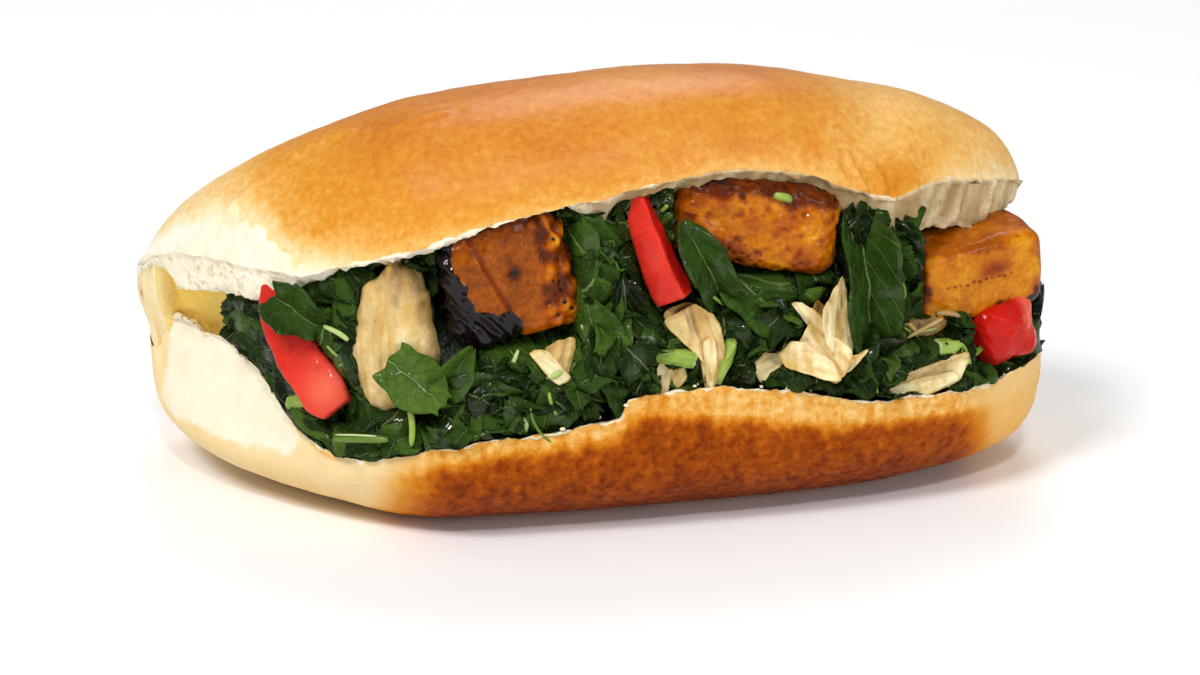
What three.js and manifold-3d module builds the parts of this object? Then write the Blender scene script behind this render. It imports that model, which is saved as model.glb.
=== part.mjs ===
// Callaloo and saltfish sandwich: a soft long roll, hinged along its back and open in front,
// filled with chopped callaloo, chunks of fried plantain, strips of red pepper and flaked saltfish.
// Millimetres. X runs along the roll, Y from the open front to the hinge, Z up from the table.
import * as THREE from 'three';
import { mergeVertices } from 'three/addons/utils/BufferGeometryUtils.js';
import Module from 'manifold-3d';

const wasm = await Module();
wasm.setup();

// ---- Driving dimensions -------------------------------------------------------------------

const ROLL_HALF_LENGTH = 86;

// Lower half: a boat whose plan and section are superellipses, leaning back at its torn left end.
const BOTTOM = {
  halfDepth: 42,
  middle: 24,
  halfHeight: 25.5,
  sectionPower: 2.7,
  planPowerLeft: 2.85,
  planPowerRight: 2.88,
  riseLeft: 0.85,
  riseRight: 0.5,
  bendFrom: -36,
  bendSlope: 0.6,
  leanFrom: -48,
  leanReach: 25,
  lean: 14,
  backLip: 22,
  dish: 3.5,
};

// Height of the lower half's front lip along the roll.
const LOWER_LIP = [
  [-88, 28.5], [-78, 30], [-70, 27.5], [-63, 22], [-55, 18], [-40, 19.5], [-24, 22],
  [-8, 23.5], [8, 25], [22, 26.5], [40, 24.5], [60, 23.5], [84, 22.5],
];

// Upper half: a dome in its own frame, then tilted open about the hinge line.
const LID = {
  halfLengthLeft: 86.5,
  halfLengthRight: 86,
  halfDepth: 43,
  height: 29.6,
  sectionPower: 2.2,
  planPowerLeft: 2.35,
  planPowerRight: 2.07,
  bendFrom: -34,
  bendSlope: 0.47,
  underTuck: 0.12,
  leftLift: 7,
  liftFrom: -58,
  liftReach: 24,
  hollow: 2,
  hingeY: 40,
  hingeZ: 28,
  tilt: 27,
  roll: -2.6,
  shiftX: -1,
};

// How far the upper half's front lip arches up or sags down along the roll.
const UPPER_LIP = [
  [-84, 0], [-66, -2.9], [-40, -3.1], [-24, -0.6], [-8, 1.8], [8, 4.2], [20, 5],
  [34, 2.5], [44, -1.3], [50, -2.3], [57, 0.2], [70, 0.5], [86, 0.6],
];

// How far torn crumb hangs below the upper half's crust edge.
const CRUMB_HANG = [
  [-86, 1], [-40, 0.5], [-12, 0.5], [-6, 3], [0, 1.5], [20, 3.5],
  [40, 2], [48, 5], [62, 6], [74, 4.5], [86, 1],
];

// Uncut bread that joins the halves: along the back, then forward round the left tip as a thin web.
const HINGE = {
  from: -78,
  to: 62,
  inset: 6,
  overlapLeft: 9,
  overlap: 17,
  depth: 15,
  web: [[-84.8, 13.5, 36.5], [-84.6, 20, 35], [-82.4, 27, 33]],
  webHeight: 15,
  webDepth: 4.5,
};

const GAP = 0.42;          // clearance to a neighbour, taken along each corner's normal
const STATIONS = 27;       // sections along each half of the roll
const SECTION_POINTS = 24; // points round each section

const COLOURS = {
  crust: 0xd99140,
  callaloo: 0x2a4a1c,
  plantain: 0xc9741a,
  pepper: 0xd2281c,
  saltfish: 0xe0c588,
  stalk: 0x9fb44e,
};

// ---- Mathematics --------------------------------------------------------------------------

const { clamp, lerp, degToRad } = THREE.MathUtils;
const vector = (x, y, z) => new THREE.Vector3(x, y, z);

function smooth(t) {
  const s = clamp(t, 0, 1);
  return s * s * (3 - 2 * s);
}

function signedPower(value, power) {
  return Math.sign(value) * Math.abs(value) ** power;
}

// Repeatable draw between 0 and 1 for a whole number.
function draw(index) {
  const value = Math.sin(index * 12.9898 + 4.1414) * 43758.5453;
  return value - Math.floor(value);
}

// Smooth curve through the points: cubic pieces with slopes from the neighbours, flat beyond the ends.
function curveThrough(points) {
  const last = points.length - 1;
  const slopes = points.map((_, i) => {
    const before = Math.max(i - 1, 0);
    const after = Math.min(i + 1, last);
    const left = points[i][0] - points[before][0];
    const right = points[after][0] - points[i][0];
    if (left === 0) return (points[after][1] - points[i][1]) / right;
    if (right === 0) return (points[i][1] - points[before][1]) / left;
    const slopeLeft = (points[i][1] - points[before][1]) / left;
    const slopeRight = (points[after][1] - points[i][1]) / right;
    return (slopeLeft * right + slopeRight * left) / (left + right);
  });
  return (position) => {
    const x = clamp(position, points[0][0], points[last][0]);
    let i = 0;
    while (i < last - 1 && x >= points[i + 1][0]) i += 1;
    const h = points[i + 1][0] - points[i][0];
    const t = (x - points[i][0]) / h;
    return points[i][1] * (1 + 2 * t) * (1 - t) ** 2 + slopes[i] * h * t * (1 - t) ** 2
      + points[i + 1][1] * t * t * (3 - 2 * t) + slopes[i + 1] * h * t * t * (t - 1);
  };
}

const lowerLipHeight = curveThrough(LOWER_LIP);
const upperLipArch = curveThrough(UPPER_LIP);
const crumbHang = curveThrough(CRUMB_HANG);

// ---- Solids -------------------------------------------------------------------------------

function closedGeometry(positions, triangles) {
  const geometry = new THREE.BufferGeometry();
  const numbers = positions.flatMap((p) => [p.x, p.y, p.z]);
  geometry.setAttribute('position', new THREE.Float32BufferAttribute(numbers, 3));
  geometry.setIndex(triangles);
  return geometry;
}

// Skin over a row of rings with equal numbers of points, closed at both ends by a fan.
function loft(rings) {
  const count = rings[0].length;
  const positions = rings.flat();
  const triangles = [];
  for (let i = 0; i < rings.length - 1; i += 1) {
    for (let j = 0; j < count; j += 1) {
      const k = (j + 1) % count;
      const [a, b, c, d] = [i * count + j, i * count + k, (i + 1) * count + k, (i + 1) * count + j];
      triangles.push(a, b, c, a, c, d);
    }
  }
  for (const end of [0, rings.length - 1]) {
    const middle = rings[end].reduce((sum, p) => sum.add(p), vector(0, 0, 0)).divideScalar(count);
    const centre = positions.push(middle) - 1;
    for (let j = 0; j < count; j += 1) {
      const [a, b] = [end * count + j, end * count + ((j + 1) % count)];
      if (end === 0) triangles.push(centre, b, a);
      else triangles.push(centre, a, b);
    }
  }
  return closedGeometry(positions, triangles);
}

// Thin leaf-like solid: the same grid of points on two faces, joined round its rim.
function sheet(columns, rows, thickness, surface) {
  const middle = [];
  for (let i = 0; i <= columns; i += 1) {
    for (let j = 0; j <= rows; j += 1) middle.push(surface(i / columns, j / rows));
  }
  const size = middle.length;
  const cell = (i, j) => i * (rows + 1) + j;
  const face = [];
  for (let i = 0; i < columns; i += 1) {
    for (let j = 0; j < rows; j += 1) {
      const [a, b, c, d] = [cell(i, j), cell(i + 1, j), cell(i + 1, j + 1), cell(i, j + 1)];
      face.push([a, b, c], [a, c, d]);
    }
  }
  const flat = closedGeometry(middle, face.flat());
  flat.computeVertexNormals();
  const normal = flat.getAttribute('normal');
  const offset = (side) => middle.map((p, i) => (
    vector(normal.getX(i), normal.getY(i), normal.getZ(i)).multiplyScalar(side * thickness / 2).add(p)
  ));
  const rim = [];
  for (let i = 0; i < columns; i += 1) rim.push([cell(i, 0), cell(i + 1, 0)]);
  for (let j = 0; j < rows; j += 1) rim.push([cell(columns, j), cell(columns, j + 1)]);
  for (let i = columns; i > 0; i -= 1) rim.push([cell(i, rows), cell(i - 1, rows)]);
  for (let j = rows; j > 0; j -= 1) rim.push([cell(0, j), cell(0, j - 1)]);
  const triangles = [
    ...face.flat(),
    ...face.flatMap(([a, b, c]) => [a + size, c + size, b + size]),
    ...rim.flatMap(([a, b]) => [a, b + size, b, a, a + size, b + size]),
  ];
  return closedGeometry([...offset(1), ...offset(-1)], triangles);
}

// The same shape with every corner moved out along its normal.
function grown(geometry, amount) {
  const merged = facingOut(positionsOnly(geometry));
  merged.computeVertexNormals();
  const position = merged.getAttribute('position');
  const normal = merged.getAttribute('normal');
  for (let i = 0; i < position.count; i += 1) {
    position.setXYZ(
      i,
      position.getX(i) + amount * normal.getX(i),
      position.getY(i) + amount * normal.getY(i),
      position.getZ(i) + amount * normal.getZ(i),
    );
  }
  return merged;
}

function positionsOnly(geometry) {
  const bare = geometry.clone();
  for (const name of Object.keys(bare.attributes)) {
    if (name !== 'position') bare.deleteAttribute(name);
  }
  return mergeVertices(bare, 1e-4);
}

function signedVolume(geometry) {
  const position = geometry.getAttribute('position');
  const index = geometry.getIndex();
  const [a, b, c] = [vector(0, 0, 0), vector(0, 0, 0), vector(0, 0, 0)];
  let volume = 0;
  for (let i = 0; i < index.count; i += 3) {
    a.fromBufferAttribute(position, index.getX(i));
    b.fromBufferAttribute(position, index.getX(i + 1));
    c.fromBufferAttribute(position, index.getX(i + 2));
    volume += a.dot(b.cross(c)) / 6;
  }
  return volume;
}

function facingOut(geometry) {
  if (signedVolume(geometry) > 0) return geometry;
  const index = geometry.getIndex();
  for (let i = 0; i < index.count; i += 3) {
    const second = index.getX(i + 1);
    index.setX(i + 1, index.getX(i + 2));
    index.setX(i + 2, second);
  }
  return geometry;
}

function toSolid(geometry) {
  const merged = facingOut(positionsOnly(geometry));
  return new wasm.Manifold(new wasm.Mesh({
    numProp: 3,
    vertProperties: new Float32Array(merged.getAttribute('position').array),
    triVerts: new Uint32Array(merged.getIndex().array),
  }));
}

// The solid's largest body alone, without scraps and sealed hollows, as a geometry.
function toGeometry(solid) {
  const bodies = solid.decompose();
  const largest = bodies.reduce((best, body) => (body.volume() > best.volume() ? body : best));
  const { vertProperties, triVerts } = largest.getMesh();
  const geometry = new THREE.BufferGeometry();
  geometry.setAttribute('position', new THREE.BufferAttribute(new Float32Array(vertProperties), 3));
  geometry.setIndex(new THREE.BufferAttribute(new Uint32Array(triVerts), 1));
  return geometry;
}

const joined = (geometries) => geometries.map(toSolid).reduce((whole, solid) => whole.add(solid));
const cutBy = (solid, neighbours) => neighbours.reduce(
  (left, neighbour) => left.subtract(toSolid(neighbour)),
  solid,
);

// ---- Roll ---------------------------------------------------------------------------------

// Half-width of a superellipse of the given power, from 1 in the middle to 0 at its tip.
const taper = (u, power) => (1 - Math.abs(u) ** power) ** (1 / power);

// How far a section moves back where the roll bends: it starts gently and grows with the distance.
function bend(distance, slope) {
  const past = Math.max(0, distance);
  return slope * past * past / (past + 10);
}

// Stations from tip to tip, closer together near the tips.
function stations(count) {
  return Array.from({ length: count }, (_, i) => 0.9999 * Math.sin((i / (count - 1) - 0.5) * Math.PI));
}

function lowerSection(u) {
  const x = u * ROLL_HALF_LENGTH;
  const width = taper(u, u < 0 ? BOTTOM.planPowerLeft : BOTTOM.planPowerRight);
  const rise = u < 0 ? BOTTOM.riseLeft : BOTTOM.riseRight;
  return {
    x,
    centreY: bend(BOTTOM.bendFrom - x, BOTTOM.bendSlope),
    halfDepth: BOTTOM.halfDepth * width,
    halfHeight: BOTTOM.halfHeight * (0.15 + 0.85 * width ** rise),
    lean: BOTTOM.lean * smooth((BOTTOM.leanFrom - x) / BOTTOM.leanReach),
    lip: lowerLipHeight(x),
  };
}

function lowerSkinPoint(section, angle) {
  const power = 2 / BOTTOM.sectionPower;
  const across = signedPower(Math.cos(angle), power);
  const z = BOTTOM.middle + section.halfHeight * signedPower(Math.sin(angle), power);
  const lean = section.lean * smooth((z - 4) / 24) * clamp(across, 0, 1);
  return vector(section.x, section.centreY - section.halfDepth * across + lean, Math.max(z, 0));
}

function lowerAngleAt(section, height) {
  const sine = clamp((height - BOTTOM.middle) / section.halfHeight, -0.999, 0.999);
  return Math.asin(signedPower(sine, BOTTOM.sectionPower / 2));
}

function lowerRing(u, points) {
  const section = lowerSection(u);
  const skin = Math.round(points * 0.56);
  const start = lowerAngleAt(section, section.lip);
  const end = -Math.PI - lowerAngleAt(section, BOTTOM.backLip);
  const ring = [];
  for (let j = 0; j < skin; j += 1) ring.push(lowerSkinPoint(section, lerp(start, end, j / (skin - 1))));
  const front = ring[0];
  const back = ring[skin - 1];
  const cut = points - skin;
  for (let j = 1; j <= cut; j += 1) {
    const t = j / (cut + 1);
    const point = back.clone().lerp(front, t);
    point.z -= BOTTOM.dish * (1 - (2 * t - 1) ** 4) * Math.min(1, section.halfDepth / 20);
    ring.push(point);
  }
  return ring;
}

function lowerHalf() {
  return loft(stations(STATIONS).map((u) => lowerRing(u, SECTION_POINTS)));
}

// From the upper half's own frame to its place: back to the hinge line, tilted open and rolled.
function placeLid(point) {
  const tilt = degToRad(LID.tilt);
  const roll = degToRad(LID.roll);
  const y = point.y - LID.halfDepth;
  const acrossY = y * Math.cos(tilt) + point.z * Math.sin(tilt);
  const rise = -y * Math.sin(tilt) + point.z * Math.cos(tilt);
  return vector(
    point.x * Math.cos(roll) + rise * Math.sin(roll) + LID.shiftX,
    acrossY + LID.hingeY,
    -point.x * Math.sin(roll) + rise * Math.cos(roll) + LID.hingeZ,
  );
}

function upperSkinPoint(u, angle) {
  const x = u * (u < 0 ? LID.halfLengthLeft : LID.halfLengthRight);
  const width = taper(u, u < 0 ? LID.planPowerLeft : LID.planPowerRight);
  const power = 2 / LID.sectionPower;
  const across = signedPower(Math.cos(angle), power);
  const rise = signedPower(Math.sin(angle), power);
  const centreY = bend(LID.bendFrom - x, LID.bendSlope);
  const top = clamp(rise, 0, 1);
  const arch = upperLipArch(x) * smooth(across) * (1 - 0.85 * top);
  const lift = LID.leftLift * smooth((LID.liftFrom - x) / LID.liftReach) * (1 - top);
  return vector(x, centreY - LID.halfDepth * width * across, LID.height * width * rise + arch + lift);
}

function upperRing(u, points) {
  const skin = Math.round(points * 0.6);
  const ring = [];
  for (let j = 0; j < skin; j += 1) {
    ring.push(upperSkinPoint(u, lerp(-LID.underTuck, Math.PI + LID.underTuck, j / (skin - 1))));
  }
  const front = ring[0];
  const back = ring[skin - 1];
  const tipFade = Math.min(1, (back.y - front.y) / 40);
  const hang = crumbHang(front.x) * tipFade;
  const cut = points - skin;
  for (let j = 1; j <= cut; j += 1) {
    const t = j / (cut + 1);
    const point = back.clone().lerp(front, t);
    point.z = back.z + (front.z - back.z) * smooth(2 * t - 1)
      + LID.hollow * (1 - (2 * t - 1) ** 4) * tipFade
      - hang * Math.exp(-(((t - 0.9) / 0.08) ** 2));
    ring.push(point);
  }
  return ring.map(placeLid);
}

function upperHalf() {
  return loft(stations(STATIONS).map((u) => upperRing(u, SECTION_POINTS)));
}

// Where the halves' back edges lie at a station.
function backEdges(x) {
  const lower = lowerSection(x / ROLL_HALF_LENGTH);
  const lidHalf = x < 0 ? LID.halfLengthLeft : LID.halfLengthRight;
  return {
    lower: vector(x, lower.centreY + lower.halfDepth, BOTTOM.backLip),
    upper: placeLid(upperSkinPoint(x / lidHalf, Math.PI + LID.underTuck)),
  };
}

// Rope of bread between the back edges; its section grows with the gap that it closes.
function hinge() {
  const { web, webHeight, webDepth, from, to, inset, overlapLeft, overlap, depth } = HINGE;
  const spans = 8;
  const seams = Array.from({ length: spans }, (_, i) => backEdges(lerp(from, to, i / (spans - 1))));
  const middles = seams.map(({ lower, upper }) => {
    const middle = lower.clone().lerp(upper, 0.5);
    return [middle.x, middle.y - inset, middle.z];
  });
  const share = (i) => (web.length + i) / (web.length + spans - 1);
  const heights = seams.map(({ lower, upper }, i) => (
    [share(i), lower.distanceTo(upper) + lerp(overlapLeft, overlap, smooth(i / 3))]
  ));
  return strip({
    path: [...web, ...middles],
    width: [[0, webHeight], ...heights],
    thickness: [[0, webDepth], [share(0), webDepth + 2], [share(2), depth], [1, depth]],
    broad: [0, 0, 1],
    steps: 18,
    round: 12,
    even: false,
  });
}

// Point on the open front of the roll: height 0 on the lower lip and 1 on the upper lip.
function mouth(x, height, inset) {
  const lower = lowerSection(clamp(x / ROLL_HALF_LENGTH, -0.97, 0.97));
  const from = lowerSkinPoint(lower, lowerAngleAt(lower, lower.lip));
  const lidHalf = x < 0 ? LID.halfLengthLeft : LID.halfLengthRight;
  const to = placeLid(upperSkinPoint(clamp(x / lidHalf, -0.97, 0.97), -LID.underTuck));
  const point = from.lerp(to, height);
  point.y += inset;
  return point;
}

// ---- Filling ------------------------------------------------------------------------------

function turned(geometry, [x, y, z], [tiltX, tiltY, tiltZ]) {
  const rotation = new THREE.Euler(degToRad(tiltX), degToRad(tiltY), degToRad(tiltZ));
  return geometry.applyQuaternion(new THREE.Quaternion().setFromEuler(rotation)).translate(x, y, z);
}

// Rounded block: a superellipsoid, with low lumps over its faces.
function chunk({ size, at, turn, power = 5, lump = 0.4, seed = 1, across = 14, along = 9 }) {
  const rings = [];
  for (let i = 0; i < along; i += 1) {
    const pole = lerp(-0.494, 0.494, i / (along - 1)) * Math.PI;
    const rise = signedPower(Math.sin(pole), 2 / power);
    const girth = Math.cos(pole) ** (2 / power);
    rings.push(Array.from({ length: across }, (_, j) => {
      const angle = (2 * Math.PI * (j + 0.5)) / across;
      const x = girth * signedPower(Math.cos(angle), 2 / power);
      const y = girth * signedPower(Math.sin(angle), 2 / power);
      const swell = 1 + (lump / size[0]) * Math.sin(3 * x + seed) * Math.cos(4 * y + 2 * rise + seed);
      return vector(x * size[0] * swell, y * size[1] * swell, rise * size[2] * swell);
    }));
  }
  return turned(loft(rings), at, turn);
}

// Strip carried along a path: a rounded oblong section, its width in the broad direction.
function strip({ path, width, thickness, broad, ends = 0.45, steps = 9, round = 10, even = true }) {
  const curve = new THREE.CatmullRomCurve3(path.map((p) => vector(...p)));
  const widthAt = curveThrough(width);
  const thicknessAt = curveThrough(thickness);
  const rings = [];
  for (let i = 0; i <= steps; i += 1) {
    const t = i / steps;
    const middle = even ? curve.getPointAt(t) : curve.getPoint(t);
    const tangent = even ? curve.getTangentAt(t) : curve.getTangent(t);
    const side = vector(...broad);
    side.addScaledVector(tangent, -side.dot(tangent)).normalize();
    const out = side.clone().cross(tangent).normalize();
    const close = lerp(ends, 1, Math.min(1, Math.sqrt(8 * Math.min(t, 1 - t))));
    rings.push(Array.from({ length: round }, (_, j) => {
      const angle = (2 * Math.PI * (j + 0.5)) / round;
      return middle.clone()
        .addScaledVector(side, close * widthAt(t) * signedPower(Math.cos(angle), 0.7) / 2)
        .addScaledVector(out, close * thicknessAt(t) * signedPower(Math.sin(angle), 0.7) / 2);
    }));
  }
  return loft(rings);
}

// Flake with an outline given as points across its face, domed, with low ridges along its grain.
function flake({ outline, thickness, at, turn = [0, 0, 0], ridge = 0.35, grain = 90, round = 16 }) {
  const corners = outline.map(([x, z]) => vector(x, 0, z));
  const edge = new THREE.CatmullRomCurve3(corners, true, 'catmullrom', 0.4);
  const rim = Array.from({ length: round }, (_, j) => edge.getPoint(j / round));
  const centre = rim.reduce((sum, p) => sum.add(p), vector(0, 0, 0)).divideScalar(round);
  const [grainX, grainZ] = [Math.cos(degToRad(grain)), Math.sin(degToRad(grain))];
  const reaches = [0.4, 0.8, 1];
  const layer = (side) => reaches.map((reach) => rim.map((p) => {
    const point = centre.clone().lerp(p, reach);
    const dome = (1 - reach ** 4) ** 0.5;
    const ridges = ridge * Math.sin((point.x * grainZ - point.z * grainX) * 2.2);
    point.y = side * (0.12 + 0.88 * dome) * thickness / 2 + ridges * dome;
    return point;
  }));
  return turned(loft([...layer(-1), ...layer(1).reverse()]), at, turn);
}

const PLANTAIN = {
  plantain_left: chunk({ size: [12.2, 11, 12.2], at: [-26.4, -26.8, 49.8], turn: [0, -13, 3], seed: 1 }),
  plantain_middle: chunk({ size: [16.2, 10.5, 8.4], at: [20.6, -27, 56.8], turn: [-4, 11, 0], seed: 2 }),
  plantain_right: chunk({ size: [12.8, 9, 8.2], at: [66.8, -20.5, 44], turn: [0, -2, 12], seed: 4 }),
};

const PEPPER = {
  pepper_left: strip({
    path: [
      [-63.2, -16, 50], [-65.2, -17, 42.5], [-63.2, -20.4, 35.5], [-59.4, -24.5, 29], [-56.6, -27.2, 25],
    ],
    width: [[0, 7], [0.5, 8.2], [0.85, 8.8], [1, 6]],
    thickness: [[0, 4.6], [1, 5]],
    broad: [0.93, -0.36, 0],
  }),
  pepper_middle: strip({
    path: [[-2.6, -33.5, 64], [-0.8, -35.6, 57.5], [1.6, -37.2, 50.5], [4.3, -38.6, 44]],
    width: [[0, 7], [0.5, 7.6], [1, 7.4]],
    thickness: [[0, 5], [1, 5.2]],
    broad: [0.98, -0.2, 0],
    ends: 0.8,
  }),
  pepper_right: chunk({
    size: [6.8, 6.5, 6.4],
    at: [71.6, -23.8, 31.2],
    turn: [0, -8, 20],
    power: 3.6,
    seed: 6,
  }),
};

const SALTFISH = {
  saltfish_left: flake({
    outline: [
      [5.2, 13], [8.2, 4], [8.6, -4], [6, -9.5], [-1, -15], [-6.5, -9], [-7.6, 1], [-4, 10.5], [1, 14.5],
    ],
    thickness: 8,
    at: [-46.4, -29.5, 39.2],
    turn: [0, 0, -26],
    ridge: 0.5,
    grain: 80,
  }),
  saltfish_wedge: flake({
    outline: [[-4.4, 0.6], [1.6, 4.4], [4.2, 1], [2, -4], [-1.2, -5.2], [-3.6, -2.6]],
    thickness: 4.5,
    at: [-18.4, -38.2, 36.2],
    turn: [8, 0, 0],
    grain: 60,
    round: 12,
  }),
  saltfish_drape: flake({
    outline: [[-5.2, 3.4], [-1, 6.6], [3.6, 5], [5.4, 0], [4.2, -7], [2, -11.5], [0.2, -6], [-1.6, -0.6]],
    thickness: 4.5,
    at: [7, -38, 37.4],
    turn: [4, 0, 4],
    grain: 100,
  }),
  saltfish_shred: flake({
    outline: [
      [5.4, 9.6], [7.4, 3], [6.8, -2.4], [10, -5], [3, -9.8], [-8.2, -4.4], [-11, -5], [-3, 1], [0.6, 4.4],
    ],
    thickness: 6,
    at: [30.2, -37, 37.4],
    turn: [-12, 0, 0],
    ridge: 0.7,
    grain: 70,
    round: 20,
  }),
  saltfish_right: flake({
    outline: [[-8.6, -0.6], [0, 1.6], [7.4, 3.4], [8.2, 0.8], [4, -2.6], [-3.6, -3.4]],
    thickness: 5,
    at: [55.2, -32, 26.6],
    turn: [-20, 0, 16],
    grain: 20,
    round: 14,
  }),
  saltfish_under: flake({
    outline: [[-6.4, 2.4], [-1.4, 0.6], [4.4, 3], [6.6, 0], [1.4, -3.2], [-4, -2.6]],
    thickness: 5,
    at: [54.8, -29.4, 34.6],
    turn: [-10, 0, 14],
    grain: 30,
    round: 14,
  }),
  saltfish_chip: flake({
    outline: [[-1.6, 3.2], [1.4, 2.2], [1.6, -2.6], [-1, -3.2]],
    thickness: 3,
    at: [1, -38.4, 30.2],
    grain: 80,
    round: 10,
  }),
};

// Short cut piece of a callaloo stalk.
function stalk(path, width) {
  const round = [[0, width], [1, 0.9 * width]];
  return strip({ path, width: round, thickness: round, broad: [0.3, 0, 1], ends: 0.9, steps: 3, round: 8 });
}

const STALK = {
  stalk_left: stalk([[-63.6, -15.6, 23.2], [-61, -18.4, 24.4], [-58.6, -21, 25.6]], 3.2),
  stalk_middle: stalk([[-0.4, -38.4, 35.6], [3.8, -39.8, 34.8], [7.4, -40, 33.8]], 3.5),
  stalk_upright: stalk([[15.6, -38, 38], [13.6, -38.8, 33.4], [11.6, -38.8, 29]], 2.7),
  stalk_right: stalk([[56, -34, 31], [59, -33, 30.7], [61.8, -31.4, 30.2]], 3.2),
};

// ---- Callaloo heap ------------------------------------------------------------------------

const HEAP = { from: -66, to: 79, leafThickness: 1, sections: 15, points: 12 };

// Share of the mouth's height that the heap fills along the roll: it slumps at the right end.
const heapFill = curveThrough([[-66, 1], [36, 1], [50, 0.97], [66, 0.62], [80, 0.42]]);

// Core of the heap: sections from the front of the mouth back to the hinge, taller than the
// opening so that both halves of the roll trim it.
function callalooCore() {
  const rings = [];
  for (let i = 0; i < HEAP.sections; i += 1) {
    const along = i / (HEAP.sections - 1);
    const x = lerp(HEAP.from, HEAP.to, along);
    const size = Math.max(0.3, taper(2 * along - 1, 4));
    const fill = heapFill(x);
    const low = mouth(x, 0, 4);
    const high = mouth(x, fill, 5);
    const bread = lowerSection(x / ROLL_HALF_LENGTH);
    const backY = bread.centreY + bread.halfDepth - 16;
    const middleZ = (low.z + high.z) / 2 - 5;
    const halfDepth = size * (backY - Math.min(low.y, high.y)) / 2;
    const halfHeight = size * ((high.z - low.z) / 2 + (fill < 1 ? 5 : 7));
    rings.push(Array.from({ length: HEAP.points }, (_, j) => {
      const angle = (-2 * Math.PI * (j + 0.5)) / HEAP.points;
      const lump = 1 + 0.03 * Math.sin(5 * angle + 0.7 * i) + 0.02 * Math.cos(9 * along + 3 * angle);
      return vector(
        x,
        (low.y + backY) / 2 + halfDepth * lump * signedPower(Math.cos(angle), 0.5),
        middleZ + halfHeight * signedPower(Math.sin(angle), 0.5),
      );
    }));
  }
  return loft(rings);
}

// One leaf: rounded outline, folded along its midrib and waved along its length.
function leaf({ at, turn, length, width, fold, wave, seed }) {
  const surface = (u, v) => {
    const along = 2 * u - 1;
    const across = 2 * v - 1;
    const half = (width / 2) * Math.max(0.16, (1 - Math.abs(along) ** 2.4) ** 0.7);
    const ripple = wave * Math.sin(3.2 * along + seed) * (0.4 + across * 0.6);
    return vector(along * length / 2, fold * Math.abs(across) * half / 4 + ripple, across * half);
  };
  return turned(sheet(5, 2, HEAP.leafThickness, surface), at, turn);
}

// Leaves that stand out in the heap: place, turn about X, Y and Z, length, width, fold and wave.
const NAMED_LEAVES = [
  { at: [43, -36, 46], turn: [0, 84, -6], length: 27, width: 12, fold: -1.2, wave: 0.8 },
  { at: [-43.4, -37.6, 31.4], turn: [-6, 42, -20], length: 12.5, width: 10, fold: -1, wave: 0.5 },
  { at: [-37.6, -38.8, 32.4], turn: [0, -58, -10], length: 13, width: 6, fold: -1.6, wave: 0.4 },
  { at: [-63, -21, 41.6], turn: [0, 24, -38], length: 12.5, width: 9.5, fold: -1.2, wave: 0.8 },
  { at: [19.4, -38.2, 46], turn: [0, 36, 0], length: 17, width: 11, fold: -1.4, wave: 0.9 },
  { at: [-7.6, -37.6, 53.6], turn: [0, 70, 4], length: 17, width: 10, fold: -1, wave: 0.9 },
  { at: [80, -15, 25], turn: [0, 30, 40], length: 12, width: 7, fold: 1, wave: 0.6 },
];

// True where a leaf at the spot would hide or cross a piece that shows.
function hidesPiece(spot, boxes) {
  return boxes.some((box) => (
    spot.x > box.min.x + 1 && spot.x < box.max.x - 1 && spot.z > box.min.z - 1 && spot.z < box.max.z + 1
  ));
}

function scatteredLeaves(boxes) {
  const leaves = [];
  const columns = 17;
  const rows = 5;
  for (let i = 0; i < columns; i += 1) {
    for (let j = 0; j < rows; j += 1) {
      const seed = 10 * (i * rows + j) + 3;
      const x = lerp(-63, 76, (i + 0.5 + 0.5 * (draw(seed) - 0.5)) / columns);
      const share = (j + 0.5 + 0.7 * (draw(seed + 1) - 0.5)) / rows;
      const spot = mouth(x, lerp(0.06, 0.92, share) * heapFill(x), lerp(0.8, 2.6, draw(seed + 2)));
      if (hidesPiece(spot, boxes)) continue;
      leaves.push({
        at: [spot.x, spot.y, spot.z],
        turn: [lerp(-35, 15, draw(seed + 3)), lerp(0, 180, draw(seed + 4)), lerp(-25, 25, draw(seed + 5))],
        length: lerp(9, 16, draw(seed + 6)),
        width: lerp(6.5, 10, draw(seed + 7)),
        fold: lerp(-2, 1, draw(seed + 8)),
        wave: lerp(0.4, 1.2, draw(seed + 9)),
        seed,
      });
    }
  }
  return leaves;
}

// Leaves on the heap's two ends, which show through the open ends of the roll.
const HEAP_ENDS = [
  { x: -63.5, side: -1, count: 2, front: 4, back: 14 },
  { x: 76.5, side: 1, count: 4, front: -12, back: 6 },
];

function endLeaves() {
  const leaves = [];
  for (const { x, side, count, front, back } of HEAP_ENDS) {
    for (let k = 0; k < count; k += 1) {
      const seed = 7000 + 100 * side + 10 * k;
      const facing = side * lerp(75, 105, draw(seed + 4));
      leaves.push({
        at: [x, lerp(front, back, (k + 0.5) / count), lerp(27, 33, draw(seed + 1))],
        turn: [lerp(-20, 20, draw(seed + 2)), lerp(0, 180, draw(seed + 3)), facing],
        length: lerp(11, 16, draw(seed + 5)),
        width: lerp(7, 10, draw(seed + 6)),
        fold: lerp(-2, 1, draw(seed + 7)),
        wave: lerp(0.4, 1.2, draw(seed + 8)),
        seed,
      });
    }
  }
  return leaves;
}

// ---- Assembly -----------------------------------------------------------------------------

const bread = [lowerHalf(), upperHalf(), hinge()];
const items = { ...PEPPER, ...PLANTAIN, ...SALTFISH, ...STALK };

const solids = { bun: joined(bread) };
const placed = bread.map((piece) => grown(piece, GAP));
for (const [name, geometry] of Object.entries(items)) {
  solids[name] = cutBy(toSolid(geometry), placed);
  placed.push(grown(geometry, GAP));
}

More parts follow.
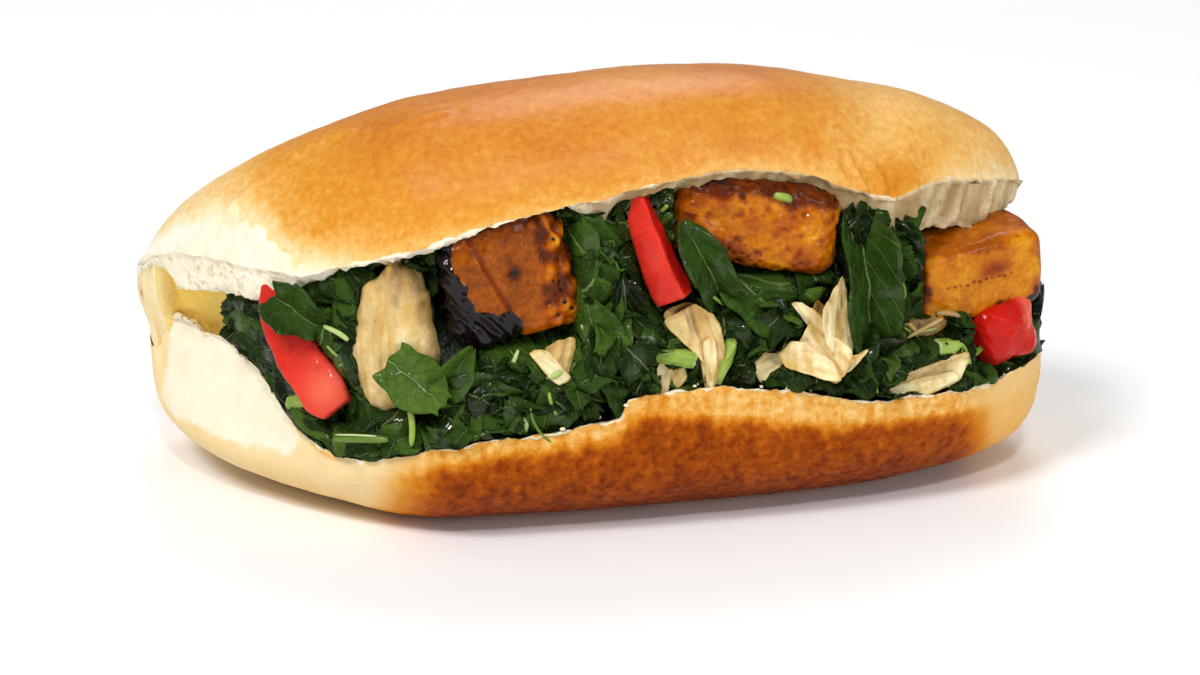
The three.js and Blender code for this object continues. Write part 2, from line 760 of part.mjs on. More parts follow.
const namedLeaves = NAMED_LEAVES.map((entry, i) => leaf({ ...entry, seed: i }));
const shown = [...Object.values(items), ...namedLeaves.slice(0, 4)];
const boxes = shown.map((geometry) => {
  geometry.computeBoundingBox();
  return geometry.boundingBox;
});
const looseLeaves = [...scatteredLeaves(boxes), ...endLeaves()].map(leaf);
solids.callaloo = cutBy(joined([callalooCore(), ...namedLeaves, ...looseLeaves]), placed);

function finish(name) {
  const kind = name.split('_')[0];
  const crust = { color: COLOURS.crust, roughness: 0.5 };
  const finishes = {
    bun: crust,
    callaloo: { color: COLOURS.callaloo, roughness: 0.3 },
    plantain: { color: COLOURS.plantain, roughness: 0.35 },
    pepper: { color: COLOURS.pepper, roughness: 0.25 },
    saltfish: { color: COLOURS.saltfish, roughness: 0.55 },
    stalk: { color: COLOURS.stalk, roughness: 0.35 },
  };
  return new THREE.MeshStandardMaterial({ metalness: 0, ...finishes[kind] });
}

const group = new THREE.Group();
for (const [name, solid] of Object.entries(solids)) {
  const mesh = new THREE.Mesh(toGeometry(solid), finish(name));
  mesh.name = name;
  group.add(mesh);
}

// The origin is the middle of the footprint of the whole.
const box = new THREE.Box3().setFromObject(group);
const centre = box.getCenter(vector(0, 0, 0));
group.children.forEach((mesh) => mesh.position.set(-centre.x, -centre.y, -box.min.z));

export default group;
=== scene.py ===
"""Callaloo and saltfish sandwich: a soft roll hinged along its back, tilted open over its filling.

Every shape is worked out in millimetres from the same driving sizes as the solids: X runs along the
roll, Y from the open front to the hinge, Z up from the table. place() takes it into the frame.
"""
import math

import bpy
import numpy as np
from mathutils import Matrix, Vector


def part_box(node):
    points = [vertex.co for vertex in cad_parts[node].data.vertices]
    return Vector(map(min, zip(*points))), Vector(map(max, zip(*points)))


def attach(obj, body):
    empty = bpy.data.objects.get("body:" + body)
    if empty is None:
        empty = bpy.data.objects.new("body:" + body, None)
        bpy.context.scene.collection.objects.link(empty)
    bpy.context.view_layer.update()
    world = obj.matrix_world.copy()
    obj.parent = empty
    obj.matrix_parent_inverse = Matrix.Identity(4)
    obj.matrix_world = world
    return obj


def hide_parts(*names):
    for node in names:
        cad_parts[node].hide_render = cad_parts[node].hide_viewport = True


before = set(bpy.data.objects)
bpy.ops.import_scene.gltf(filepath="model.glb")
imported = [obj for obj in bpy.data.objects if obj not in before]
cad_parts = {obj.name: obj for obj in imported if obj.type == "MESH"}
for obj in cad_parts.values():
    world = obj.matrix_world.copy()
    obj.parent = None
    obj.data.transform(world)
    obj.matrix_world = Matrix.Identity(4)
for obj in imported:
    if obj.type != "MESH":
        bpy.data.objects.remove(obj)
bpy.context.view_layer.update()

MM = 0.001
ORIGIN_SHIFT = np.array([1.0864, -1.5565, 0.0])  # from the roll's own middle to the frame's origin

# ---- Driving sizes of the roll, in millimetres ------------------------------------------------

ROLL_HALF_LENGTH = 86
BOTTOM = dict(
    half_depth=42, middle=24, half_height=25.5, section_power=2.7,
    plan_left=2.85, plan_right=2.88, rise_left=0.85, rise_right=0.5,
    bend_from=-36, bend_slope=0.6, lean_from=-48, lean_reach=25, lean=14,
    back_lip=22, dish=3.5,
)
LOWER_LIP = [
    (-88, 28.5), (-78, 30), (-70, 27.5), (-63, 22), (-55, 18), (-40, 19.5), (-24, 22),
    (-8, 23.5), (8, 25), (22, 26.5), (40, 24.5), (60, 23.5), (84, 22.5),
]
LID = dict(
    half_left=86.5, half_right=86, half_depth=43, height=29.6, section_power=2.2,
    plan_left=2.35, plan_right=2.07, bend_from=-34, bend_slope=0.47, under_tuck=0.12,
    left_lift=7, lift_from=-58, lift_reach=24, hollow=2,
    hinge_y=40, hinge_z=28, tilt=27, roll=-2.6, shift_x=-1,
)
UPPER_LIP = [
    (-84, 0), (-66, -2.9), (-40, -3.1), (-24, -0.6), (-8, 1.8), (8, 4.2), (20, 5),
    (34, 2.5), (44, -1.3), (50, -2.3), (57, 0.2), (70, 0.5), (86, 0.6),
]
CRUMB_HANG = [
    (-86, 1), (-40, 0.5), (-12, 0.5), (-6, 3), (0, 1.5), (20, 3.5),
    (40, 2), (48, 5), (62, 6), (74, 4.5), (86, 1),
]
HINGE = {
    "from": -78, "to": 62, "inset": 6, "overlap_left": 9, "overlap": 17, "depth": 15,
}
HEAP = dict(start=-66, end=79)
HEAP_FILL = [(-66, 1), (36, 1), (50, 0.97), (66, 0.62), (80, 0.42)]

# ---- Arithmetic -------------------------------------------------------------------------------


def smooth(t):
    """Eased step: 0 below 0, 1 above 1, and a cubic between."""
    t = np.clip(t, 0, 1)
    return t * t * (3 - 2 * t)


def lerp(a, b, t):
    return a + (b - a) * t


def signed_power(value, power):
    return np.sign(value) * np.abs(value) ** power


def hump(x, middle, reach):
    """Bell of height 1 round the middle."""
    return np.exp(-(((x - middle) / reach) ** 2))


def draw(index):
    """Repeatable draw between 0 and 1 for a whole number, the same as the solids use."""
    value = np.sin(np.asarray(index, float) * 12.9898 + 4.1414) * 43758.5453
    return value - np.floor(value)


def curve_through(points):
    """Cubic pieces through the points, with slopes from both neighbours, flat beyond the ends."""
    xs, ys = np.array(points, float).T
    chord = np.diff(ys) / np.diff(xs)
    gaps = np.diff(xs)
    slopes = np.empty(len(xs))
    slopes[0] = chord[0]
    slopes[-1] = chord[-1]
    slopes[1:-1] = (chord[:-1] * gaps[1:] + chord[1:] * gaps[:-1]) / (gaps[:-1] + gaps[1:])

    def value(position):
        x = np.clip(position, xs[0], xs[-1])
        i = np.clip(np.searchsorted(xs, x, side="right") - 1, 0, len(xs) - 2)
        h = xs[i + 1] - xs[i]
        t = (x - xs[i]) / h
        return (ys[i] * (1 + 2 * t) * (1 - t) ** 2 + slopes[i] * h * t * (1 - t) ** 2
                + ys[i + 1] * t * t * (3 - 2 * t) + slopes[i + 1] * h * t * t * (t - 1))

    return value


def hashed(x, y, z, seed):
    """A value from 0 to 1 for each whole-number corner."""
    value = np.sin(x * 127.1 + y * 311.7 + z * 74.7 + seed * 53.31) * 43758.5453
    return value - np.floor(value)


def noise(points, size, seed=0):
    """Value noise from -1 to 1: values on a lattice of this size, blended with eased weights."""
    q = np.asarray(points) / size
    corner = np.floor(q)
    w = smooth(q - corner)
    total = 0
    for i in (0, 1):
        for j in (0, 1):
            for k in (0, 1):
                weight = (np.abs(1 - i - w[..., 0]) * np.abs(1 - j - w[..., 1]) * np.abs(1 - k - w[..., 2]))
                total = total + weight * hashed(corner[..., 0] + i, corner[..., 1] + j, corner[..., 2] + k, seed)
    return 2 * total - 1


def rough(points, size, octaves=4, seed=0, gain=0.5):
    """Octaves of noise, each of half the size and of gain times the strength of the one before."""
    total = 0
    for i in range(octaves):
        total = total + gain ** i * noise(points, size / 2 ** i, seed + 7 * i)
    return total


def cell_distance(points, size, seed=0):
    """Distance to the nearest of one scattered point in each lattice cell, in cell sizes."""
    q = np.asarray(points) / size
    corner = np.floor(q)
    nearest = np.full(q.shape[:-1], 9.0)
    for i in (-1, 0, 1):
        for j in (-1, 0, 1):
            for k in (-1, 0, 1):
                cx, cy, cz = corner[..., 0] + i, corner[..., 1] + j, corner[..., 2] + k
                dx = cx + hashed(cx, cy, cz, seed) - q[..., 0]
                dy = cy + hashed(cx, cy, cz, seed + 1) - q[..., 1]
                dz = cz + hashed(cx, cy, cz, seed + 2) - q[..., 2]
                nearest = np.minimum(nearest, np.sqrt(dx * dx + dy * dy + dz * dz))
    return nearest


def distance_to_path(points, path):
    """Shortest distance from each point to a run of straight pieces."""
    path = np.array(path, float)
    nearest = np.full(points.shape[:-1], 1e9)
    for a, b in zip(path[:-1], path[1:]):
        along = np.clip(((points - a) @ (b - a)) / ((b - a) @ (b - a)), 0, 1)
        nearest = np.minimum(nearest, np.linalg.norm(points - a - along[..., None] * (b - a), axis=-1))
    return nearest


# ---- Meshes -----------------------------------------------------------------------------------


def place(points):
    """From millimetres in the roll's own frame to metres in the shared frame."""
    return (np.asarray(points) + ORIGIN_SHIFT) * MM


def grid_normals(points, closed=True):
    """Unit normals of a grid of points: the cross product of its differences along both directions."""
    along = np.gradient(points, axis=0)
    if closed:
        around = np.roll(points, -1, axis=1) - np.roll(points, 1, axis=1)
    else:
        around = np.gradient(points, axis=1)
    normal = np.cross(along, around)
    return normal / np.maximum(np.linalg.norm(normal, axis=-1, keepdims=True), 1e-9)


def outward_normals(rings):
    """Unit normals of a closed skin over rings, pointing out of it."""
    return -grid_normals(rings) * np.sign(volume(lofted(rings)))


def loft_faces(rows, columns):
    """Four-cornered faces between neighbouring rings, and a fan from a middle point at either end."""
    i, j = np.meshgrid(np.arange(rows - 1), np.arange(columns), indexing="ij")
    k = (j + 1) % columns
    quads = np.stack([i * columns + j, i * columns + k, (i + 1) * columns + k, (i + 1) * columns + j], -1)
    j = np.arange(columns)
    k = (j + 1) % columns
    first = np.full(columns, rows * columns)
    last = (rows - 1) * columns
    fans = np.concatenate([
        np.stack([first, k, j], -1),
        np.stack([first + 1, last + j, last + k], -1),
    ])
    return quads.reshape(-1, 4), fans


def lofted(rings, **values):
    """Corners, faces and values of the closed skin over a grid of rings."""
    rows, columns = rings.shape[:2]
    points = np.concatenate([rings.reshape(-1, 3), rings[[0, -1]].mean(axis=1)])
    quads, fans = loft_faces(rows, columns)
    filled = {
        name: np.concatenate([np.broadcast_to(value, (rows, columns)).ravel(), value_ends(value, rows, columns)])
        for name, value in values.items()
    }
    return dict(points=points, quads=quads, triangles=fans, values=filled)


def value_ends(value, rows, columns):
    grid = np.broadcast_to(value, (rows, columns))
    return grid[[0, -1]].mean(axis=1)


def joined(shapes):
    """Several shapes as one: their corners in a row and their face numbers moved along."""
    start = np.cumsum([0] + [len(s["points"]) for s in shapes[:-1]])
    names = shapes[0]["values"].keys()
    whole = dict(
        points=np.concatenate([s["points"] for s in shapes]),
        quads=np.concatenate([s["quads"] + n for s, n in zip(shapes, start)]),
        triangles=np.concatenate([s["triangles"] + n for s, n in zip(shapes, start)]),
        values={name: np.concatenate([s["values"][name] for s in shapes]) for name in names},
    )
    if all("uv" in s for s in shapes):
        whole["uv"] = np.concatenate([s["uv"] for s in shapes])
    return whole


def volume(shape):
    """Signed volume within the faces: positive where they point outwards."""
    quads = shape["quads"]
    corners = np.concatenate([quads[:, [0, 1, 2]], quads[:, [0, 2, 3]], shape["triangles"]]).astype(int)
    a, b, c = (shape["points"][corners[:, n]] for n in range(3))
    return np.einsum("ij,ij->i", a, np.cross(b, c)).sum() / 6


def add_piece(name, shape, material, nodes):
    """One mesh object from a shape. It rides on the root and stands for its nodes, which it hides."""
    quads, triangles = shape["quads"].astype(np.int32), shape["triangles"].astype(np.int32)
    if volume(shape) < 0:
        quads, triangles = quads[:, ::-1], triangles[:, ::-1]
    corners = np.concatenate([quads.ravel(), triangles.ravel()])
    sizes = np.concatenate([np.full(len(quads), 4), np.full(len(triangles), 3)])
    mesh = bpy.data.meshes.new(name)
    mesh.vertices.add(len(shape["points"]))
    mesh.loops.add(len(corners))
    mesh.polygons.add(len(sizes))
    mesh.vertices.foreach_set("co", place(shape["points"]).astype(np.float32).ravel())
    mesh.loops.foreach_set("vertex_index", corners)
    mesh.polygons.foreach_set("loop_start", (np.cumsum(sizes) - sizes).astype(np.int32))
    mesh.update(calc_edges=True)
    mesh.polygons.foreach_set("use_smooth", np.ones(len(sizes), bool))
    for title, values in shape["values"].items():
        layer = mesh.attributes.new(title, "FLOAT", "POINT")
        layer.data.foreach_set("value", np.asarray(values, np.float32).ravel())
    if "uv" in shape:
        layer = mesh.uv_layers.new(name="UVMap")
        layer.data.foreach_set("uv", shape["uv"][corners].astype(np.float32).ravel())
    mesh.validate()
    piece = bpy.data.objects.new(name, mesh)
    bpy.context.scene.collection.objects.link(piece)
    mesh.materials.append(material)
    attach(piece, "root")
    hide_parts(*nodes)
    return piece


# ---- Materials --------------------------------------------------------------------------------


class Graph:
    """Adds nodes to a shader tree. An input given as a socket is linked; any other value is set."""

    def __init__(self, tree):
        self.tree = tree

    def node(self, kind, inputs=(), **settings):
        made = self.tree.nodes.new(kind)
        for key, value in settings.items():
            setattr(made, key, value)
        for key, value in dict(inputs).items():
            if isinstance(value, bpy.types.NodeSocket):
                self.tree.links.new(value, made.inputs[key])
            else:
                made.inputs[key].default_value = value
        return made

    def math(self, operation, a, b=0.0, clamp=False):
        return self.node("ShaderNodeMath", {0: a, 1: b}, operation=operation, use_clamp=clamp).outputs[0]

    def attribute(self, name):
        return self.node("ShaderNodeAttribute", attribute_name=name).outputs["Fac"]

    def place(self):
        return self.node("ShaderNodeTexCoord").outputs["Object"]

    def noise(self, vector, size_mm, detail=3.0, roughness=0.55, distortion=0.0):
        """Noise from 0 to 1 whose coarsest lumps are this many millimetres across."""
        inputs = {"Vector": vector, "Scale": 1 / (size_mm * MM), "Detail": detail,
                  "Roughness": roughness, "Distortion": distortion}
        return self.node("ShaderNodeTexNoise", inputs).outputs["Fac"]

    def spots(self, vector, size_mm, reach):
        """1 at scattered points this many millimetres apart, down to 0 at the given share of a cell."""
        cells = self.node("ShaderNodeTexVoronoi", {"Vector": vector, "Scale": 1 / (size_mm * MM)})
        return self.range(cells.outputs["Distance"], 0.0, reach, 1.0, 0.0)

    def range(self, value, low, high, to_low=0.0, to_high=1.0):
        inputs = {"Value": value, "From Min": low, "From Max": high, "To Min": to_low, "To Max": to_high}
        return self.node("ShaderNodeMapRange", inputs, interpolation_type="SMOOTHSTEP").outputs[0]

    def ramp(self, value, stops):
        made = self.node("ShaderNodeValToRGB", {"Fac": value})
        elements = made.color_ramp.elements
        while len(elements) < len(stops):
            elements.new(0.5)
        for element, (position, colour) in zip(elements, stops):
            element.position = position
            element.color = (*colour, 1)
        return made.outputs["Color"]

    def mix(self, share, a, b, blend="MIX"):
        a, b = ((*c, 1) if isinstance(c, tuple) else c for c in (a, b))
        inputs = {0: share, 6: a, 7: b}
        made = self.node("ShaderNodeMix", data_type="RGBA", blend_type=blend)
        for key, value in inputs.items():
            if isinstance(value, bpy.types.NodeSocket):
                self.tree.links.new(value, made.inputs[key])
            else:
                made.inputs[key].default_value = value
        return made.outputs[2]

    def bump(self, height, distance_mm, strength=1.0, normal=None):
        inputs = {"Height": height, "Distance": distance_mm * MM, "Strength": strength}
        if normal is not None:
            inputs["Normal"] = normal
        return self.node("ShaderNodeBump", inputs).outputs["Normal"]

    def placed(self, tree, inputs):
        made = self.tree.nodes.new("ShaderNodeGroup")
        made.node_tree = tree
        for key, value in inputs.items():
            if isinstance(value, bpy.types.NodeSocket):
                self.tree.links.new(value, made.inputs[key])
            else:
                made.inputs[key].default_value = value
        return made


def new_material(name):
    """An empty material and its graph, with a Principled shader wired to its output."""
    material = bpy.data.materials.new(name)
    material.use_nodes = True
    material.node_tree.nodes.clear()
    graph = Graph(material.node_tree)
    shader = graph.node("ShaderNodeBsdfPrincipled")
    output = graph.node("ShaderNodeOutputMaterial")
    material.node_tree.links.new(shader.outputs["BSDF"], output.inputs["Surface"])
    return material, graph, shader


def dress(graph, shader, colour, roughness, normal, **plain):
    """Feeds the shader: a changing colour, roughness and normal, and plain values on its own sockets."""
    links = graph.tree.links
    links.new(colour, shader.inputs["Base Color"])
    links.new(roughness, shader.inputs["Roughness"])
    links.new(normal, shader.inputs["Normal"])
    for key, value in plain.items():
        shader.inputs[key.replace("_", " ")].default_value = value


def new_group(name, inputs, outputs):
    """An empty node group with number inputs (name, value) and outputs (name, kind)."""
    tree = bpy.data.node_groups.new(name, "ShaderNodeTree")
    tree.interface.new_socket("Vector", in_out="INPUT", socket_type="NodeSocketVector")
    for title, value in inputs:
        socket = tree.interface.new_socket(title, in_out="INPUT", socket_type="NodeSocketFloat")
        socket.default_value = value
    for title in outputs:
        tree.interface.new_socket(title, in_out="OUTPUT", socket_type="NodeSocketFloat")
    graph = Graph(tree)
    return tree, graph, graph.node("NodeGroupInput").outputs, graph.node("NodeGroupOutput")


def mottle_group():
    """Soft blotches in two sizes: Blotch is 0 to 1 about 0.5, pushed apart by Contrast."""
    tree, graph, given, out = new_group("mottle", [("Scale", 300.0), ("Contrast", 2.0)], ["Blotch"])
    coarse = graph.node("ShaderNodeTexNoise", {"Vector": given["Vector"], "Scale": given["Scale"], "Detail": 3.0})
    fine_scale = graph.math("MULTIPLY", given["Scale"], 4.3)
    fine = graph.node("ShaderNodeTexNoise", {"Vector": given["Vector"], "Scale": fine_scale, "Detail": 2.0})
    both = graph.math("ADD", graph.math("MULTIPLY", coarse.outputs["Fac"], 0.65),
                      graph.math("MULTIPLY", fine.outputs["Fac"], 0.35))
    apart = graph.math("MULTIPLY", graph.math("SUBTRACT", both, 0.5), given["Contrast"])
    tree.links.new(graph.math("ADD", apart, 0.5, clamp=True), out.inputs["Blotch"])
    return tree


def grain_group():
    """Fine relief: Height is 0 to 1, from fine noise and small pits that Pits makes deeper."""
    tree, graph, given, out = new_group("grain", [("Scale", 1500.0), ("Pits", 0.5)], ["Height"])
    fine = graph.node("ShaderNodeTexNoise", {"Vector": given["Vector"], "Scale": given["Scale"], "Detail": 4.0})
    cells = graph.node("ShaderNodeTexVoronoi", {"Vector": given["Vector"],
                                                "Scale": graph.math("MULTIPLY", given["Scale"], 0.45)})
    pits = graph.range(cells.outputs["Distance"], 0.1, 0.5)
    sunk = graph.math("MULTIPLY", graph.math("SUBTRACT", 1.0, pits), given["Pits"])
    tree.links.new(graph.math("SUBTRACT", fine.outputs["Fac"], sunk), out.inputs["Height"])
    return tree


MOTTLE = mottle_group()
GRAIN = grain_group()


def bread_material():
    """Crust coloured by how far it is baked, and pale open crumb where the roll is cut or torn."""
    material, g, shader = new_material("bread")
    place_ = g.place()
    crumb = g.attribute("crumb")
    bake = g.attribute("bake")
    mottled = g.attribute("mottled")
    open_ = g.attribute("open")
    warm = g.attribute("warm")
    shade = g.attribute("shade")
    soft = g.placed(MOTTLE, {"Vector": place_, "Scale": 70.0, "Contrast": 1.2}).outputs["Blotch"]
    sharp = g.placed(MOTTLE, {"Vector": place_, "Scale": 700.0, "Contrast": 2.6}).outputs["Blotch"]
    drift = g.math("ADD", g.math("MULTIPLY", g.math("SUBTRACT", soft, 0.5), 0.10),
                   g.math("MULTIPLY", g.math("MULTIPLY", g.math("SUBTRACT", sharp, 0.5), 0.26), mottled))
    crust = g.ramp(g.math("ADD", bake, drift, clamp=True), [
        (0.0, (0.90, 0.85, 0.72)), (0.14, (0.87, 0.70, 0.39)), (0.30, (0.78, 0.44, 0.115)),
        (0.42, (0.67, 0.27, 0.024)), (0.54, (0.55, 0.160, 0.005)), (0.68, (0.38, 0.075, 0.002)),
        (0.84, (0.19, 0.028, 0.001)), (1.0, (0.08, 0.010, 0.001)),
    ])
    # dark brown in the crumb's pores is painted shade in the holes, deeper where the crumb is more open
    hollow = g.range(g.noise(place_, 2.0, 4.0, 0.72), 0.50, 0.66)
    crumb_tone = g.noise(place_, 5.0, 4.0)
    pale = g.mix(crumb_tone, (0.86, 0.74, 0.50), (0.93, 0.88, 0.74))
    # golden tint of the crumb: a little everywhere as the crumb's own tone, and strong in the fold at the left tip as
    # painted light glowing through the thin bread
    golden = g.mix(warm, pale, (0.95, 0.66, 0.15))
    shaded = g.mix(shade, golden, (0.40, 0.27, 0.125))
    inside = g.mix(g.math("MULTIPLY", g.math("MULTIPLY", hollow, 0.6), open_), shaded, (0.36, 0.22, 0.085))
    edge = g.math("ADD", crumb, g.math("MULTIPLY", g.math("SUBTRACT", g.noise(place_, 1.4, 3.0), 0.5), 0.6))
    share = g.range(edge, 0.30, 0.70)
    colour = g.mix(share, crust, inside)
    crust_height = g.placed(GRAIN, {"Vector": place_, "Scale": 1100.0, "Pits": 0.35}).outputs["Height"]
    pits = g.math("MULTIPLY", open_, 0.7)
    crumb_height = g.placed(GRAIN, {"Vector": place_, "Scale": 1000.0, "Pits": pits}).outputs["Height"]
    fine = g.bump(crust_height, 0.10, 0.55)
    normal = g.mix(share, g.bump(sharp, 0.30, 0.35, fine), g.bump(crumb_height, 0.40, 0.8))
    roughness = g.mix(share, g.mix(soft, (0.40,) * 3, (0.52,) * 3), (0.95,) * 3)
    dress(g, shader, colour, roughness, normal, Specular_IOR_Level=0.05, Subsurface_Weight=0.10,
          Subsurface_Scale=0.004, Coat_Roughness=0.38)
    glazed = g.math("MULTIPLY", g.attribute("sheen"), g.math("SUBTRACT", 1.0, share))
    material.node_tree.links.new(glazed, shader.inputs["Coat Weight"])
    return material


def leaf_material():
    """Wet cooked leaf: dark green with paler veins from its own UV map, and quilted between them."""
    material, g, shader = new_material("callaloo_leaf")
    place_ = g.place()
    tint = g.attribute("tint")
    uv = g.node("ShaderNodeUVMap", uv_map="UVMap").outputs["UV"]
    parts = g.node("ShaderNodeSeparateXYZ", {0: uv}).outputs
    wobble = g.math("MULTIPLY", g.math("SUBTRACT", g.noise(place_, 3.0, 2.0), 0.5), 0.16)
    away = g.math("ABSOLUTE", g.math("SUBTRACT", g.math("ADD", parts[1], wobble), 0.5))
    midrib = g.range(away, 0.010, 0.045, 1.0, 0.0)
    slant = g.math("SUBTRACT", g.math("MULTIPLY", g.math("ADD", parts[0], wobble), 5.0),
                   g.math("MULTIPLY", away, 4.0))
    side = g.math("ABSOLUTE", g.math("SUBTRACT", g.math("FRACT", slant), 0.5))
    ribs = g.math("MULTIPLY", g.range(side, 0.01, 0.07, 1.0, 0.0), 0.5)
    veins = g.math("MAXIMUM", midrib, ribs)
    blotch = g.placed(MOTTLE, {"Vector": place_, "Scale": 200.0, "Contrast": 2.6}).outputs["Blotch"]
    drift = g.math("MULTIPLY", g.math("SUBTRACT", blotch, 0.5), 0.30)
    green = g.ramp(g.math("ADD", tint, drift, clamp=True), [
        (0.0, (0.003, 0.007, 0.001)), (0.35, (0.012, 0.030, 0.003)), (0.6, (0.030, 0.068, 0.007)),
        (0.8, (0.052, 0.105, 0.011)), (1.0, (0.085, 0.155, 0.019)),
    ])
    vein_colour = g.mix(0.55, green, (0.27, 0.37, 0.14))
    colour = g.mix(g.math("MULTIPLY", veins, 0.8), green, vein_colour)
    quilt = g.math("SUBTRACT", g.noise(place_, 1.8, 3.0), g.math("MULTIPLY", veins, 0.6))
    normal = g.bump(quilt, 0.80, 1.0)
    roughness = g.mix(blotch, (0.20,) * 3, (0.38,) * 3)
    dress(g, shader, colour, roughness, normal, Specular_IOR_Level=0.05, Coat_Roughness=0.09)
    wet = g.math("ADD", 0.02, g.math("MULTIPLY", g.range(g.noise(place_, 4.5, 2.0), 0.52, 0.62), 0.50))
    material.node_tree.links.new(wet, shader.inputs["Coat Weight"])
    return material


def heap_shade_material():
    """Depth of the heap: near-black green, painted shade for the gaps between the leaves."""
    material, g, shader = new_material("callaloo_core")
    place_ = g.place()
    blotch = g.placed(MOTTLE, {"Vector": place_, "Scale": 220.0, "Contrast": 2.5}).outputs["Blotch"]
    colour = g.mix(blotch, (0.003, 0.006, 0.002), (0.014, 0.030, 0.006))
    normal = g.bump(g.noise(place_, 2.2, 4.0), 1.2, 0.9)
    roughness = g.mix(blotch, (0.25,) * 3, (0.5,) * 3)
    dress(g, shader, colour, roughness, normal, Specular_IOR_Level=0.35)
    return material


def stalk_material():
    """Cooked stalk: pale green with fine lines along it and paler cut ends."""
    material, g, shader = new_material("callaloo_stalk")
    place_ = g.place()
    tint = g.attribute("tint")
    blotch = g.placed(MOTTLE, {"Vector": place_, "Scale": 500.0, "Contrast": 1.8}).outputs["Blotch"]
    base = g.ramp(tint, [(0.0, (0.04, 0.09, 0.010)), (0.4, (0.16, 0.27, 0.030)), (0.7, (0.36, 0.50, 0.075)),
                         (1.0, (0.62, 0.70, 0.34))])
    colour = g.mix(g.math("MULTIPLY", blotch, 0.4), base, (0.12, 0.22, 0.02))
    normal = g.bump(g.noise(place_, 0.7, 3.0), 0.2, 0.6)
    roughness = g.mix(blotch, (0.2,) * 3, (0.36,) * 3)
    dress(g, shader, colour, roughness, normal, Specular_IOR_Level=0.4, Subsurface_Weight=0.1,
          Subsurface_Scale=0.002)
    return material


def plantain_material():
    """Fried plantain: golden flesh through amber and caramel to dark brown, and black glaze where it caught."""
    material, g, shader = new_material("plantain_fried")
    place_ = g.place()
    fried = g.attribute("fried")
    char = g.attribute("char")
    red = g.attribute("red")
    blotch = g.placed(MOTTLE, {"Vector": place_, "Scale": 230.0, "Contrast": 2.4}).outputs["Blotch"]
    fine = g.placed(MOTTLE, {"Vector": place_, "Scale": 900.0, "Contrast": 3.0}).outputs["Blotch"]
    drift = g.math("ADD", g.math("MULTIPLY", g.math("SUBTRACT", blotch, 0.5), 0.20),
                   g.math("MULTIPLY", g.math("SUBTRACT", fine, 0.5), 0.18))
    flesh = g.ramp(g.math("ADD", fried, drift, clamp=True), [
        (0.0, (0.72, 0.33, 0.012)), (0.2, (0.56, 0.175, 0.003)), (0.4, (0.40, 0.095, 0.002)),
        (0.6, (0.22, 0.046, 0.001)), (0.78, (0.09, 0.015, 0.001)), (1.0, (0.025, 0.005, 0.002)),
    ])
    warm = g.mix(g.math("MULTIPLY", red, 0.6), flesh, (0.40, 0.055, 0.003))
    dots = g.math("MULTIPLY", g.spots(place_, 3.4, 0.12), 0.8)
    dotted = g.mix(dots, warm, (0.05, 0.010, 0.006))
    burnt = g.range(g.math("ADD", char, g.math("MULTIPLY", g.math("SUBTRACT", blotch, 0.5), 0.5)), 0.34, 0.66)
    colour = g.mix(burnt, dotted, (0.006, 0.003, 0.003))
    grain = g.placed(GRAIN, {"Vector": place_, "Scale": 800.0, "Pits": 0.8}).outputs["Height"]
    normal = g.bump(grain, 0.28, 0.8)
    roughness = g.mix(blotch, (0.16,) * 3, (0.34,) * 3)
    dress(g, shader, colour, roughness, normal, Specular_IOR_Level=0.03, Coat_Roughness=0.08,
          Subsurface_Weight=0.08, Subsurface_Scale=0.003)
    glaze = g.math("ADD", 0.24, g.math("MULTIPLY", burnt, 0.30))
    material.node_tree.links.new(glaze, shader.inputs["Coat Weight"])
    return material


def pepper_material():
    """Red pepper: glossy skin, paler translucent flesh where the attribute says it is cut, and a pale pink glow painted
    where light would shine through it.
    """
    material, g, shader = new_material("pepper_red")
    place_ = g.place()
    flesh = g.attribute("flesh")
    glow = g.attribute("glow")
    blotch = g.placed(MOTTLE, {"Vector": place_, "Scale": 200.0, "Contrast": 1.6}).outputs["Blotch"]
    skin = g.mix(blotch, (0.36, 0.005, 0.003), (0.60, 0.012, 0.006))
    cut = g.mix(blotch, (0.54, 0.014, 0.009), (0.72, 0.042, 0.024))
    # pale pink painted glow: light through the flesh painted into the colour
    warm = g.mix(glow, g.mix(flesh, skin, cut), (0.86, 0.20, 0.11))
    normal = g.bump(g.noise(place_, 1.1, 3.0), 0.15, 0.5)
    roughness = g.mix(g.math("MAXIMUM", flesh, g.math("MULTIPLY", blotch, 0.5)), (0.12,) * 3, (0.32,) * 3)
    dress(g, shader, warm, roughness, normal, Specular_IOR_Level=0.04, Coat_Weight=0.28, Coat_Roughness=0.05,
          Subsurface_Weight=0.12, Subsurface_Scale=0.003)
    return material


